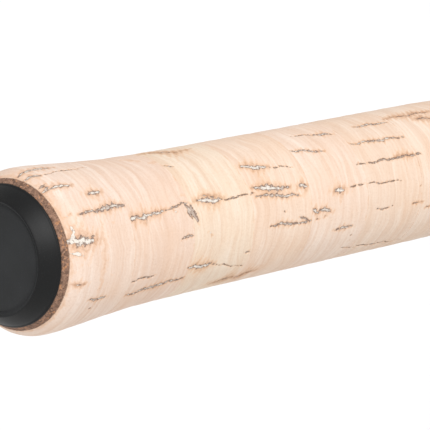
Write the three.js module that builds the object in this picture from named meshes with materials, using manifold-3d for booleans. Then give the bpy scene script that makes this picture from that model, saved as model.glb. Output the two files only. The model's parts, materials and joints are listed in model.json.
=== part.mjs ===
// A short, light spinning rod with its reel fitted. Millimetres.
// The rod runs along +X from the flat face of the butt cap, which is the origin, to the tip ring.
// +Z is up, and the reel hangs below the rod, as it does in use.
import * as THREE from "three";
import { mergeVertices } from "three/addons/utils/BufferGeometryUtils.js";
import Module from "manifold-3d";

const wasm = await Module();
wasm.setup();

// ---- driving dimensions -------------------------------------------------------------------------

const TURNED = 30; // sides of a large turned piece
const SLIM = 18; // sides of a small turned piece
const RING_SIDES = 20; // sides of a line guide's ring
const FIT = 0.14; // radial clearance of a running or sliding fit
const GLUE = 0.06; // gap left for the glue between two stacked pieces

// Grip
const CORK_PITCH = 12.7; // half-inch cork rings
const REAR_RINGS = 8;
const CAP_RIM_X = 2.54; // where the butt cap meets the grip
const WASHER_THICKNESS = 1;
const FIRST_JOINT_X = 3.04; // the rings' pitch is counted from here: the first is trimmed for the washer
// Outer radius of the rear grip, by distance ahead of the cap's rim
const GRIP_PROFILE = [
  [0, 9.55], [1, 10.2], [2, 10.96], [3.5, 11.26], [5.5, 11.21], [8, 11.06], [11, 10.82], [15, 10.54],
  [20, 10.24], [26, 10.1], [34, 10.02], [44, 10],
];
const SPIGOT_RADIUS = 6.5;
const SPIGOT_END_X = 12;
const REAR_GRIP_END_X = FIRST_JOINT_X + REAR_RINGS * CORK_PITCH;

// Blank
const BLANK_X = [14, 654];
const BLANK_RADII = [3.6, 0.75];

// Reel seat
const SEAT_X = REAR_GRIP_END_X + 3.1;
const SEAT_LENGTH = 89;
const SEAT_RADIUS = 8.6;
const SEAT_REAR_RADIUS = 9.4;
const THREAD_LENGTH = 21;
const SADDLE_DEPTH = 7; // distance of the flat saddle below the rod's axis
const HOOD_WIDTH = 14.4;
const HOOD_DROP = 11.2;
const SLIDING_HOOD_LENGTH = 12;
const LOCK_NUT_LENGTH = 9;
const FORE_GRIP_LENGTH = 50.8;
const FORE_GRIP_X = SEAT_X + SEAT_LENGTH + 0.4;

// Reel
const FOOT_LENGTH = 54;
const FOOT_WIDTH = 12;
const FOOT_THICKNESS = 2.2;
const TOE_ENGAGED = 7; // how far the front toe of the foot sits inside the sliding hood
const SPOOL_DROP = 52; // spool axis below the rod's axis
const REEL_X = SEAT_X + 11 + FOOT_LENGTH / 2;
const FOOT_TOP = SPOOL_DROP - SADDLE_DEPTH - 0.2;
const HALF_WIDTH = 12.5; // gear housing, either side of the middle
const SPLIT_Y = -6; // where the side cover meets the housing
const WALL = 2.2;
const TAIL_X = -18.8; // where the rear guard meets the housing
const FRONT_BOSS_RADIUS = 13.5; // collar that carries the pinion bearing and the clutch
const CRANK_Z = -6; // crank axis, relative to the spool axis
const MAIN_SHAFT_RADIUS = 2;
const CRANK_SHAFT_RADIUS = 3;
const DRIVE_TEETH = 35;
const PINION_TEETH = 7;
const DRIVE_GEAR_RADIUS = 15;
const CRANK_PINION_TEETH = 12;
const OSCILLATION_TEETH = 24;
const OSCILLATION_MODULE = 0.7;
const OSCILLATION_X = -(OSCILLATION_MODULE * (CRANK_PINION_TEETH + OSCILLATION_TEETH)) / 2;
const STROKE = 8; // travel of the spool along its axis
const ROTOR_X = 31;
const BAIL_X = 60; // bail pivot axis
const BAIL_REACH = 10; // line roller's distance from the pivot axis
const ARM_INNER = 23.4;
const ARM_OUTER = 27;
const HANDLE_LENGTH = 42;

// Line guides: place along the rod, bore radius of the ring, and the ring's drop below the rod's axis
const GUIDES = [
  { x: 330, bore: 6, drop: 15 },
  { x: 420, bore: 4, drop: 10.8 },
  { x: 500, bore: 3, drop: 8.4 },
  { x: 575, bore: 2.4, drop: 7 },
];
const TIP = { x: 656, bore: 1.9, drop: 4.4 };

// ---- materials ----------------------------------------------------------------------------------

const finish = (color, roughness, metalness = 0) =>
  new THREE.MeshStandardMaterial({ color, roughness, metalness });
const CORK = finish(0xe8c9a4, 0.75);
const BURNT_CORK = finish(0x7a5643, 0.9);
const BLACK_RUBBER = finish(0x2f3032, 0.6);
const CARBON = finish(0x1b1c1f, 0.25);
const GRAPHITE_PLASTIC = finish(0x26272a, 0.45);
const ANODISED = finish(0x5c6066, 0.3, 1);
const BRIGHT_METAL = finish(0xc9ccd1, 0.2, 1);
const STEEL = finish(0x9a9da1, 0.3, 1);
const BRASS = finish(0xc09a52, 0.3, 1);
const CERAMIC = finish(0x3b3f45, 0.15);
const HOUSING_PAINT = finish(0x2b2e33, 0.35);

// ---- solids -------------------------------------------------------------------------------------

// A closed geometry as a solid that can be cut and joined.
function solid(geometry) {
  const loose = geometry.index ? geometry.toNonIndexed() : geometry;
  const bare = new THREE.BufferGeometry().setAttribute("position", loose.getAttribute("position"));
  const merged = mergeVertices(bare, 1e-4);
  const corners = merged.index.array;
  const faces = [];
  for (let i = 0; i < corners.length; i += 3) {
    const [a, b, c] = corners.slice(i, i + 3);
    if (a !== b && b !== c && c !== a) faces.push(a, b, c);
  }
  const vertProperties = merged.attributes.position.array;
  return new wasm.Manifold(
    new wasm.Mesh({ numProp: 3, vertProperties, triVerts: new Uint32Array(faces) }),
  );
}

const join = (first, ...others) => others.reduce((whole, piece) => whole.add(piece), first);
const cut = (first, ...others) => others.reduce((whole, piece) => whole.subtract(piece), first);

function geometryOf(made) {
  const mesh = made.getMesh();
  const stride = mesh.numProp;
  const positions = new Float32Array(mesh.numVert * 3);
  for (let i = 0; i < mesh.numVert; i++) {
    positions.set(mesh.vertProperties.subarray(i * stride, i * stride + 3), i * 3);
  }
  const geometry = new THREE.BufferGeometry();
  geometry.setAttribute("position", new THREE.BufferAttribute(positions, 3));
  geometry.setIndex(new THREE.BufferAttribute(mesh.triVerts, 1));
  geometry.computeVertexNormals();
  return geometry;
}

const TURN_TO = {
  x: (g) => g.rotateZ(-Math.PI / 2),
  y: (g) => g,
  z: (g) => g.rotateX(Math.PI / 2),
};

// A piece turned about an axis. The profile lists [distance along the axis, radius] from the low end's
// inside, out, along and back in; it starts and ends on the axis, or is closed for a bored piece.
function turned(profile, { axis = "x", sides = TURNED, bored = false, at = [0, 0, 0] } = {}) {
  const points = profile.map(([along, radius]) => new THREE.Vector2(radius, along));
  if (bored) points.push(points[0].clone());
  return solid(TURN_TO[axis](new THREE.LatheGeometry(points, sides)).translate(...at));
}

const rod = (from, to, radius, options = {}) =>
  turned([[from, 0], [from, radius], [to, radius], [to, 0]], { sides: SLIM, ...options });

const tube = (from, to, bore, radius, options = {}) =>
  turned([[from, bore], [from, radius], [to, radius], [to, bore]], { bored: true, ...options });

function block(low, high) {
  const size = high.map((value, i) => value - low[i]);
  const middle = high.map((value, i) => (value + low[i]) / 2);
  return solid(new THREE.BoxGeometry(...size).translate(...middle));
}

// An outline drawn in the XZ plane, made solid between two Y values. A bevel rounds both faces' edges.
function slabXZ(shape, lowY, highY, bevel = 0) {
  const geometry = new THREE.ExtrudeGeometry(shape, {
    depth: highY - lowY - 2 * bevel,
    curveSegments: 6,
    bevelEnabled: bevel > 0,
    bevelThickness: bevel,
    bevelSize: bevel,
    bevelOffset: -bevel,
    bevelSegments: 2,
  });
  return solid(geometry.rotateX(Math.PI / 2).translate(0, highY - bevel, 0));
}

// An outline drawn in the XY plane, made solid between two Z values.
function slabXY(shape, lowZ, highZ) {
  const options = { depth: highZ - lowZ, curveSegments: 8, bevelEnabled: false };
  return solid(new THREE.ExtrudeGeometry(shape, options).translate(0, 0, lowZ));
}

// An outline drawn in the YZ plane, made solid between two X values.
function slabYZ(shape, lowX, highX) {
  const options = { depth: highX - lowX, curveSegments: 8, bevelEnabled: false };
  const geometry = new THREE.ExtrudeGeometry(shape, options);
  return solid(geometry.rotateX(Math.PI / 2).rotateZ(Math.PI / 2).translate(lowX, 0, 0));
}

function polygon(points) {
  return new THREE.Shape(points.map(([a, b]) => new THREE.Vector2(a, b)));
}

// A bar with round ends between two points.
function stadium([ax, ay], [bx, by], radius) {
  const angle = Math.atan2(by - ay, bx - ax);
  const shape = new THREE.Shape();
  shape.absarc(bx, by, radius, angle - Math.PI / 2, angle + Math.PI / 2);
  shape.absarc(ax, ay, radius, angle + Math.PI / 2, angle + 1.5 * Math.PI);
  return shape;
}

// A spur gear's outline with involute flanks, thinned at each flank for backlash.
function gearShape(teeth, module, { phase = 0, backlash = 0.12, addendum = 0.9 } = {}) {
  const pressure = THREE.MathUtils.degToRad(20);
  const pitch = (teeth * module) / 2;
  const base = pitch * Math.cos(pressure);
  const outer = pitch + addendum * module;
  const root = pitch - 1.2 * module;
  const involute = (angle) => Math.tan(angle) - angle;
  const halfAngle = (radius) => {
    const at = Math.acos(Math.min(1, base / Math.max(radius, base)));
    return Math.PI / (2 * teeth) + involute(pressure) - involute(at) - backlash / pitch;
  };
  const flank = [root, pitch, outer];
  const points = [];
  for (let i = 0; i < teeth; i++) {
    const middle = phase + (i * 2 * Math.PI) / teeth;
    const sides = [
      ...flank.map((radius) => [radius, middle - halfAngle(radius)]),
      ...[...flank].reverse().map((radius) => [radius, middle + halfAngle(radius)]),
    ];
    for (const [radius, angle] of sides) {
      points.push([radius * Math.cos(angle), radius * Math.sin(angle)]);
    }
  }
  return polygon(points);
}

// The outline of a ring of straight teeth, for a face gear.
function crownShape(teeth, root, outer) {
  const points = [];
  for (let i = 0; i < teeth; i++) {
    for (const [radius, share] of [[root, -0.27], [outer, -0.2], [outer, 0.2], [root, 0.27]]) {
      const angle = ((i + share) * 2 * Math.PI) / teeth;
      points.push([radius * Math.cos(angle), radius * Math.sin(angle)]);
    }
  }
  return polygon(points);
}

// ---- assembly helpers ---------------------------------------------------------------------------

function addPiece(group, name, material, made, position = [0, 0, 0]) {
  const mesh = new THREE.Mesh(geometryOf(made), material);
  mesh.name = name;
  mesh.position.set(...position);
  group.add(mesh);
}

function blankRadius(x) {
  const share = (x - BLANK_X[0]) / (BLANK_X[1] - BLANK_X[0]);
  return THREE.MathUtils.lerp(...BLANK_RADII, THREE.MathUtils.clamp(share, 0, 1));
}

// Outer radius of the rear grip, from the rounded butt end through the flare to the straight part,
// and drawn in to the reel seat along its last ring.
function rearGripRadius(x) {
  const s = x - CAP_RIM_X;
  const toFront = REAR_GRIP_END_X - x;
  const nose = toFront < CORK_PITCH ? 0.7 * (1 - toFront / CORK_PITCH) ** 2 : 0;
  const next = GRIP_PROFILE.findIndex(([along]) => along > s);
  if (next < 0) return GRIP_PROFILE.at(-1)[1] - nose;
  const [[fromS, fromR], [toS, toR]] = [GRIP_PROFILE[next - 1], GRIP_PROFILE[next]];
  return THREE.MathUtils.mapLinear(s, fromS, toS, fromR, toR) - nose;
}

// ---- rod ----------------------------------------------------------------------------------------

const product = new THREE.Group();

function buildGrip(group) {
  const capFace = 7.44;
  const capRim = 9.57;
  addPiece(group, "butt_cap", BLACK_RUBBER, turned([
    [0, 0], [0, capFace], [CAP_RIM_X - 0.35, capRim], [CAP_RIM_X - 0.05, capRim],
    [CAP_RIM_X - 0.05, SPIGOT_RADIUS], [SPIGOT_END_X, SPIGOT_RADIUS], [SPIGOT_END_X, 0],
  ]));
  const washerEnd = CAP_RIM_X + WASHER_THICKNESS;
  addPiece(group, "butt_washer", BURNT_CORK, turned([
    [CAP_RIM_X, SPIGOT_RADIUS + FIT], [CAP_RIM_X, rearGripRadius(CAP_RIM_X)],
    [washerEnd - GLUE, rearGripRadius(washerEnd)], [washerEnd - GLUE, SPIGOT_RADIUS + FIT],
  ], { bored: true }));

  for (let i = 0; i < REAR_RINGS; i++) {
    const joint = FIRST_JOINT_X + i * CORK_PITCH;
    const from = i === 0 ? washerEnd : joint;
    const to = joint + CORK_PITCH - GLUE;
    const steps = i === 0 ? 8 : i === 1 || i === REAR_RINGS - 1 ? 4 : 1;
    const outside = [];
    for (let k = 0; k <= steps; k++) {
      const x = from + ((to - from) * k) / steps;
      outside.push([x, rearGripRadius(x)]);
    }
    const bore = blankRadius(from) + FIT;
    const inside = i === 0
      ? [[to, bore], [SPIGOT_END_X + 0.3, bore], [SPIGOT_END_X + 0.3, SPIGOT_RADIUS + FIT]]
      : [[to, bore]];
    const start = [from, i === 0 ? SPIGOT_RADIUS + FIT : bore];
    addPiece(group, `rear_cork_ring_${i + 1}`, CORK, turned([start, ...outside, ...inside], { bored: true }));
  }
  addPiece(group, "seat_trim_ring", ANODISED, turned([
    [REAR_GRIP_END_X, 4], [REAR_GRIP_END_X, 9.3], [REAR_GRIP_END_X + 0.6, 9.8],
    [REAR_GRIP_END_X + 2.4, 9.8], [REAR_GRIP_END_X + 3, 9.4], [REAR_GRIP_END_X + 3, 4],
  ], { bored: true }));

  const front = FORE_GRIP_X + FORE_GRIP_LENGTH;
  const foreProfile = [[0, 9], [2, 9.4], [14, 9.7], [26, 9], [38, 7.6], [48, 6.4], [FORE_GRIP_LENGTH, 6]];
  const bore = blankRadius(FORE_GRIP_X) + FIT;
  addPiece(group, "fore_grip", CORK, turned([
    [FORE_GRIP_X, bore], ...foreProfile.map(([s, radius]) => [FORE_GRIP_X + s, radius]), [front, bore],
  ], { bored: true }));
  addPiece(group, "winding_check", ANODISED, turned([
    [front + 0.1, 3], [front + 0.1, 6], [front + 1, 6.2], [front + 3.4, 3.9], [front + 3.4, 3],
  ], { bored: true, sides: SLIM }));
}

function hoodSolid(from, to, bore, outer) {
  const bulge = block([from, -HOOD_WIDTH / 2, -HOOD_DROP], [to, HOOD_WIDTH / 2, -4]);
  const outside = join(rod(from, to, outer, { sides: TURNED }), bulge);
  return cut(outside, rod(from - 1, to + 1, bore, { sides: TURNED }));
}

function toePocket(from, to) {
  const low = -SADDLE_DEPTH - 0.2 - FOOT_THICKNESS - 0.25;
  return block([from, -FOOT_WIDTH / 2 - 0.3, low], [to, FOOT_WIDTH / 2 + 0.3, -5]);
}

function buildReelSeat(group) {
  const end = SEAT_X + SEAT_LENGTH;
  const thread = end - THREAD_LENGTH;
  const bore = blankRadius(SEAT_X) + FIT;
  const barrel = turned([
    [SEAT_X, bore], [SEAT_X, SEAT_REAR_RADIUS], [SEAT_X + 17, SEAT_REAR_RADIUS], [SEAT_X + 18.5, SEAT_RADIUS],
    [thread, SEAT_RADIUS], [thread + 0.6, SEAT_RADIUS - 0.3], [end, SEAT_RADIUS - 0.3], [end, bore],
  ], { bored: true });
  const saddle = block([SEAT_X + 10, -20, -20], [thread, 20, -SADDLE_DEPTH]);
  addPiece(group, "reel_seat", GRAPHITE_PLASTIC, cut(barrel, saddle));

  const rearToe = REEL_X - FOOT_LENGTH / 2;
  const rearEnd = rearToe + TOE_ENGAGED;
  const fixed = hoodSolid(SEAT_X + 1, rearEnd, SEAT_REAR_RADIUS + FIT, 10.5);
  addPiece(group, "fixed_hood", ANODISED, cut(fixed, toePocket(rearToe - 0.5, rearEnd + 1)));

  const hoodStart = REEL_X + FOOT_LENGTH / 2 - TOE_ENGAGED;
  const hoodEnd = hoodStart + SLIDING_HOOD_LENGTH;
  const sliding = hoodSolid(hoodStart, hoodEnd, SEAT_RADIUS + FIT, 9.9);
  const slidingPocket = toePocket(hoodStart - 1, hoodStart + TOE_ENGAGED + 1);
  addPiece(group, "sliding_hood", ANODISED, cut(sliding, slidingPocket));

  const nut = [hoodEnd + 0.3, hoodEnd + 0.3 + LOCK_NUT_LENGTH];
  addPiece(group, "lock_nut", ANODISED, turned([
    [nut[0], SEAT_RADIUS + FIT], [nut[0], 10.2], [nut[0] + 0.8, 10.9], [nut[1] - 0.8, 10.9],
    [nut[1], 10.2], [nut[1], SEAT_RADIUS + FIT],
  ], { bored: true }));
}

// A single-foot guide: a ring held on two legs by a foot that lies along the underside of the blank.
function buildGuide(group, index, { x, bore, drop }) {
  const insert = bore + 1.1;
  const rim = insert + 0.9;
  const under = -blankRadius(x) - 0.2;
  const ring = tube(-0.7, 0.7, insert + 0.1, rim, { sides: RING_SIDES, at: [0, 0, -drop] });
  const footBar = block([-0.7, -0.9, under - 0.7], [11, 0.9, under]);
  const leg = slabYZ(polygon([
    [0.1, under - 0.1], [1.1, under - 0.1], [rim - 0.1, -drop + 0.6], [rim - 0.9, -drop + 0.6],
  ]), -0.6, 0.6);
  const legs = [leg, leg.mirror([0, 1, 0])];
  const window = rod(-2, 2, insert + 0.5, { sides: RING_SIDES, at: [0, 0, -drop] });
  addPiece(group, `guide_frame_${index}`, STEEL, join(cut(join(...legs), window), ring, footBar), [x, 0, 0]);
  addPiece(group, `guide_ring_${index}`, CERAMIC, turned([
    [-0.9, bore + 0.35], [-0.5, insert], [0.5, insert], [0.9, bore + 0.35], [0, bore],
  ], { bored: true, sides: RING_SIDES }), [x, 0, -drop]);
}

function buildTip(group, { x, bore, drop }) {
  const insert = bore + 0.7;
  const socketEnd = blankRadius(x - 2) + 0.1;
  const sleeve = cut(
    turned([[-13, 0], [-13, 1.35], [-0.5, 1.2], [-0.5, 0]], { sides: 24 }),
    turned([
      [-14, 0], [-14, blankRadius(x - 14) + 0.1], [-1.6, socketEnd], [-1.5, socketEnd], [-1.5, 0],
    ], { sides: 24 }),
  );
  const hoop = tube(-0.6, 0.6, insert + 0.1, insert + 0.8, { sides: RING_SIDES, at: [0, 0, -drop] });
  const neck = block([-1.4, -0.7, -drop + insert + 0.2], [0.5, 0.7, -0.7]);
  addPiece(group, "tip_frame", STEEL, join(sleeve, neck, hoop), [x, 0, 0]);
  addPiece(group, "tip_ring", CERAMIC, turned([
    [-0.7, bore + 0.25], [-0.4, insert], [0.4, insert], [0.7, bore + 0.25], [0, bore],
  ], { bored: true, sides: RING_SIDES }), [x, 0, -drop]);
}

function buildBlank(group) {
  const [from, to] = BLANK_X;
  addPiece(group, "blank", CARBON, turned([
    [from, 0], [from, BLANK_RADII[0]], [to, BLANK_RADII[1]], [to, 0],
  ], { sides: 24 }));
}

buildGrip(product);
buildReelSeat(product);
buildBlank(product);
GUIDES.forEach((guide, i) => buildGuide(product, i + 1, guide));
buildTip(product, TIP);

// ---- reel: everything below is placed from the spool axis under the middle of the foot -----------

const reel = new THREE.Group();
reel.position.set(REEL_X, 0, -SPOOL_DROP);
product.add(reel);

// The gear housing's side outline, drawn inwards by a wall.
function housingShape(inset) {
  const front = 19 - inset;
  const shape = new THREE.Shape();
  shape.moveTo(front, 15 - inset);
  shape.lineTo(-6, 17 - inset);
  shape.bezierCurveTo(-18 + inset / 2, 17 - inset, -25 + inset, 9, -25 + inset, -1);
  shape.bezierCurveTo(-25 + inset, -12, -17, -24.6 + inset, -1, -24.6 + inset);
  shape.bezierCurveTo(10, -24.6 + inset, front - 3, -20, front, -13.5);
  return shape;
}

function buildHousing(group) {
  const whole = slabXZ(housingShape(0), -HALF_WIDTH, HALF_WIDTH, 3);
  const cavity = slabXZ(housingShape(WALL), -HALF_WIDTH + WALL, HALF_WIDTH - WALL);
  const shell = cut(whole, cavity);
  const far = 100;
  const behind = block([-far, -far, -far], [TAIL_X - 0.3, far, far]);
  const ahead = block([TAIL_X, -far, -far], [far, far, far]);
  const inboard = block([-far, SPLIT_Y, -far], [far, far, far]);
  const outboard = block([-far, -far, -far], [far, SPLIT_Y - 0.1, far]);
  addPiece(group, "rear_guard", ANODISED, shell.intersect(behind));

  // A boss inside each wall carries the crank's bearing
  const onCrank = { axis: "y", sides: TURNED, at: [0, 0, CRANK_Z] };
  const bearingHole = (low, high) => rod(low, high, 6.65, onCrank);
  const shaftHole = rod(-40, 40, CRANK_SHAFT_RADIUS + 0.4, { axis: "y", at: [0, 0, CRANK_Z] });

  const coverBoss = rod(-HALF_WIDTH + 1, -HALF_WIDTH + 4.2, 8, onCrank);
  const cover = cut(
    join(shell.intersect(ahead).intersect(outboard), coverBoss),
    bearingHole(-11.4, -8),
    shaftHole,
    rod(16, 31, FRONT_BOSS_RADIUS + 0.3, { sides: TURNED }),
  );
  addPiece(group, "side_cover", HOUSING_PAINT, cover);

  const bodyBoss = rod(HALF_WIDTH - 4.2, HALF_WIDTH - 1, 8, onCrank);
  const handleBoss = rod(HALF_WIDTH - 1, 18.5, 6, onCrank);
  const frontBoss = rod(16.4, 30, FRONT_BOSS_RADIUS, { sides: TURNED });
  const gearPin = rod(3.4, HALF_WIDTH - 1, 2, { axis: "y", at: [OSCILLATION_X, 0, CRANK_Z] });
  const leverBoss = rod(-25.4, -17, 4.2, { axis: "z", at: [-11, 0, 0] });
  const stem = slabXZ(polygon([
    [-12, 14], [14, 14], [6.5, 25], [6, 34], [10, FOOT_TOP - 1], [-10, FOOT_TOP - 1], [-7, 34], [-8, 25],
  ]), -2.9, 2.9);
  const foot = slabXY(polygon([
    [-FOOT_LENGTH / 2, -4], [-FOOT_LENGTH / 2 + 3, -5.4], [-12, -FOOT_WIDTH / 2], [12, -FOOT_WIDTH / 2],
    [FOOT_LENGTH / 2 - 3, -5.4], [FOOT_LENGTH / 2, -4], [FOOT_LENGTH / 2, 4], [FOOT_LENGTH / 2 - 3, 5.4],
    [12, FOOT_WIDTH / 2], [-12, FOOT_WIDTH / 2], [-FOOT_LENGTH / 2 + 3, 5.4], [-FOOT_LENGTH / 2, 4],
  ]), FOOT_TOP - FOOT_THICKNESS, FOOT_TOP);
  const half = shell.intersect(ahead).intersect(inboard);
  const cavityAhead = cavity.intersect(ahead);
  const body = join(
    cut(join(half, cut(frontBoss, cavityAhead), cut(stem, cavity), cut(leverBoss, cavity)),
      rod(15, 31, 4.4), rod(16.9, 22, 7.15, { sides: TURNED }), rod(22.2, 31, 10.65, { sides: TURNED })),
    foot, bodyBoss, handleBoss, gearPin,
  );
  const clearOfCover = block([TAIL_X - 0.2, -far, -22.3], [15.9, SPLIT_Y, 14.6]);
  addPiece(group, "reel_body", HOUSING_PAINT,
    cut(body, bearingHole(8, 11.4), shaftHole, clearOfCover.intersect(outboard)));

  const screws = [[-12, 7], [12, 8.5], [2, -19]];
  screws.forEach(([x, z], i) => {
    const head = rod(-HALF_WIDTH - 1.2, -HALF_WIDTH - 0.1, 1.8, { axis: "y", at: [x, 0, z], sides: 12 });
    addPiece(group, `cover_screw_${i + 1}`, STEEL, head);
  });
}

// A sealed ball bearing or clutch, whose races and balls are kept as one ring.
const bearing = (from, to, bore, radius, options) => (
  tube(from, to, bore, radius, { sides: SLIM, ...options })
);

function buildGearTrain(group) {
  const crankAxis = { axis: "y", at: [0, 0, CRANK_Z] };
  const spur = (teeth, phase, from, to, x) =>
    slabXZ(gearShape(teeth, OSCILLATION_MODULE, { phase }), from, to).translate([x, 0, CRANK_Z]);
  const shaft = join(rod(-16, 24, CRANK_SHAFT_RADIUS, crankAxis), spur(CRANK_PINION_TEETH, 0, 4, 6.5, 0));
  addPiece(group, "crank_shaft", STEEL, shaft);

  const toothed = slabXZ(crownShape(DRIVE_TEETH, 12.8, DRIVE_GEAR_RADIUS), -7.8, -4.1);
  const dished = cut(toothed.translate([0, 0, CRANK_Z]), rod(-5.6, 0, 10.4, crankAxis));
  const hub = rod(-8.2, -4, 5.2, crankAxis);
  const bore = rod(-20, 0, CRANK_SHAFT_RADIUS + 0.14, crankAxis);
  addPiece(group, "drive_gear", BRASS, cut(join(dished, hub), bore));

  const pinionTeeth = slabYZ(gearShape(PINION_TEETH, 0.8, { backlash: 0.1, addendum: 0.8 }), 6, 16.4);
  const pinion = join(pinionTeeth, rod(16, 22.4, 3.5), rod(22.3, 30, 5), rod(29.9, 45, 4));
  addPiece(group, "pinion", BRASS, cut(pinion, rod(0, 50, MAIN_SHAFT_RADIUS + FIT)));
  addPiece(group, "pinion_bearing", STEEL, bearing(17.1, 21.7, 3.65, 7));
  addPiece(group, "one_way_clutch", STEEL, bearing(22.5, 29.5, 5.15, 10.5));
  const crankBore = CRANK_SHAFT_RADIUS + 0.12;
  addPiece(group, "crank_bearing_cover", STEEL, bearing(-11.2, -8.5, crankBore, 6.5, crankAxis));
  addPiece(group, "crank_bearing_body", STEEL, bearing(8.5, 11.2, crankBore, 6.5, crankAxis));

  const meshPhase = Math.PI / OSCILLATION_TEETH;
  const wheel = cut(spur(OSCILLATION_TEETH, meshPhase, 4, 6.5, OSCILLATION_X),
    rod(0, 20, 2 + FIT, { axis: "y", at: [OSCILLATION_X, 0, CRANK_Z] }));
  const crankPin = rod(2.9, 4.2, 1.2, { axis: "y", at: [OSCILLATION_X - STROKE / 2, 0, CRANK_Z] });
  addPiece(group, "oscillation_gear", BRASS, join(wheel, crankPin));

  const middle = OSCILLATION_X - STROKE / 2;
  const block_ = block([middle - 3.5, -2.4, -10.5], [middle + 3.5, 2.4, 4]);
  const slot = block([middle - 1.4, 1.6, -11], [middle + 1.4, 3, -1]);
  addPiece(group, "oscillation_slider", BRASS, cut(block_, slot, rod(-40, 0, MAIN_SHAFT_RADIUS + 0.08)));
  addPiece(group, "main_shaft", STEEL, rod(-19.2, 74, MAIN_SHAFT_RADIUS));
}

function buildRotor(group) {
  const bore = 4 + FIT;
  const bowl = turned([
    [ROTOR_X, bore], [ROTOR_X, 14], [ROTOR_X + 1.2, 19.5], [ROTOR_X + 4, 23.6], [ROTOR_X + 8, 25.2],
    [ROTOR_X + 10, 25.2], [ROTOR_X + 10, 22.6], [ROTOR_X + 5.5, 21.6], [ROTOR_X + 3, 18.5], [ROTOR_X + 3, bore],
  ], { bored: true });
  const hub = tube(ROTOR_X, 41.8, bore, 7);
  const drum = tube(ROTOR_X + 2.9, 45, 15.5, 17);
  const armShape = new THREE.Shape();
  armShape.moveTo(ROTOR_X + 3, -8.5);
  armShape.bezierCurveTo(ROTOR_X + 12, -8.5, 48, -5, BAIL_X, -5);
  armShape.absarc(BAIL_X, 0, 5, -Math.PI / 2, Math.PI / 2);
  armShape.bezierCurveTo(48, 5, ROTOR_X + 12, 8.5, ROTOR_X + 3, 8.5);
  const arms = [-1, 1].flatMap((side) => {
    const z = [side * ARM_INNER, side * ARM_OUTER].sort((a, b) => a - b);
    const boss = [side * (ARM_OUTER - 0.5), side * 30.1].sort((a, b) => a - b);
    return [slabXY(armShape, ...z), rod(...boss, 3, { axis: "z", at: [BAIL_X, 0, 0] })];
  });
  addPiece(group, "rotor", HOUSING_PAINT, join(bowl, hub, drum, ...arms));

  const hexagon = new THREE.CylinderGeometry(6.3, 6.3, 3, 6).rotateZ(-Math.PI / 2).translate(43.6, 0, 0);
  addPiece(group, "rotor_nut", STEEL, cut(solid(hexagon), rod(40, 50, bore)));

  [["upper", 1], ["lower", -1]].forEach(([name, side]) => {
    const z = [side * 30.3, side * 31.5].sort((a, b) => a - b);
    addPiece(group, `bail_screw_${name}`, STEEL, rod(...z, 4, { axis: "z", at: [BAIL_X, 0, 0] }));
  });
}

function buildBail(group) {
  const rollerAt = [BAIL_X, -BAIL_REACH];
  const plate = (low, high) => cut(
    slabXY(stadium([BAIL_X, 0], rollerAt, 4.4), low, high),
    rod(low - 1, high + 1, 3 + FIT, { axis: "z", at: [BAIL_X, 0, 0] }),
  );
  const onRoller = { axis: "z", at: [...rollerAt, 0] };
  addPiece(group, "bail_lever", BRIGHT_METAL,
    join(plate(27.3, 30), rod(22.2, 27.4, 1.6, onRoller), rod(22, 23.2, 3.2, onRoller)));
  addPiece(group, "line_roller", BRIGHT_METAL, turned([
    [23.5, 1.75], [23.5, 3.5], [25, 2.8], [25.6, 2.8], [27, 3.5], [27, 1.75],
  ], { bored: true, sides: SLIM, ...onRoller }));
  addPiece(group, "bail_cam", HOUSING_PAINT, plate(-30, -27.3));

  const route = [
    [-13.5, 22.6], [-20, 20.5], [-28, 12], [-31.5, 0], [-30, -12], [-23.5, -23], [-17, -27.8], [-14.9, -28.6],
  ].map(([y, z]) => new THREE.Vector3(BAIL_X, y, z));
  const section = new THREE.Shape().absarc(0, 0, 0.9, 0, 2 * Math.PI);
  const wire = new THREE.ExtrudeGeometry(section, {
    steps: 26, curveSegments: 3, bevelEnabled: false, extrudePath: new THREE.CatmullRomCurve3(route),
  });
  addPiece(group, "bail_wire", BRIGHT_METAL, solid(wire));
}

function buildSpool(group) {
  const bore = MAIN_SHAFT_RADIUS + FIT;
  addPiece(group, "spool", BRIGHT_METAL, turned([
    [48, bore], [48, 19], [38, 19], [38, 20.5], [48.5, 20.5], [48.8, 20.8], [50.5, 20.8],
    [51, 13.5], [63.5, 13.5], [64.2, 21], [66, 21], [67, 20.2], [67, 11.2], [60, 11.2], [60, bore],
  ], { bored: true }));
  addPiece(group, "drag_washer_stack", ANODISED, tube(60.2, 62.5, bore, 10.9));
  const knob = cut(
    turned([[63, 0], [63, 10.6], [67.4, 10.6], [67.8, 9.6], [75.5, 8.6], [77.6, 7], [77.6, 0]]),
    rod(60, 75, bore),
  );
  addPiece(group, "drag_knob", BLACK_RUBBER, knob);
}

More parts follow.
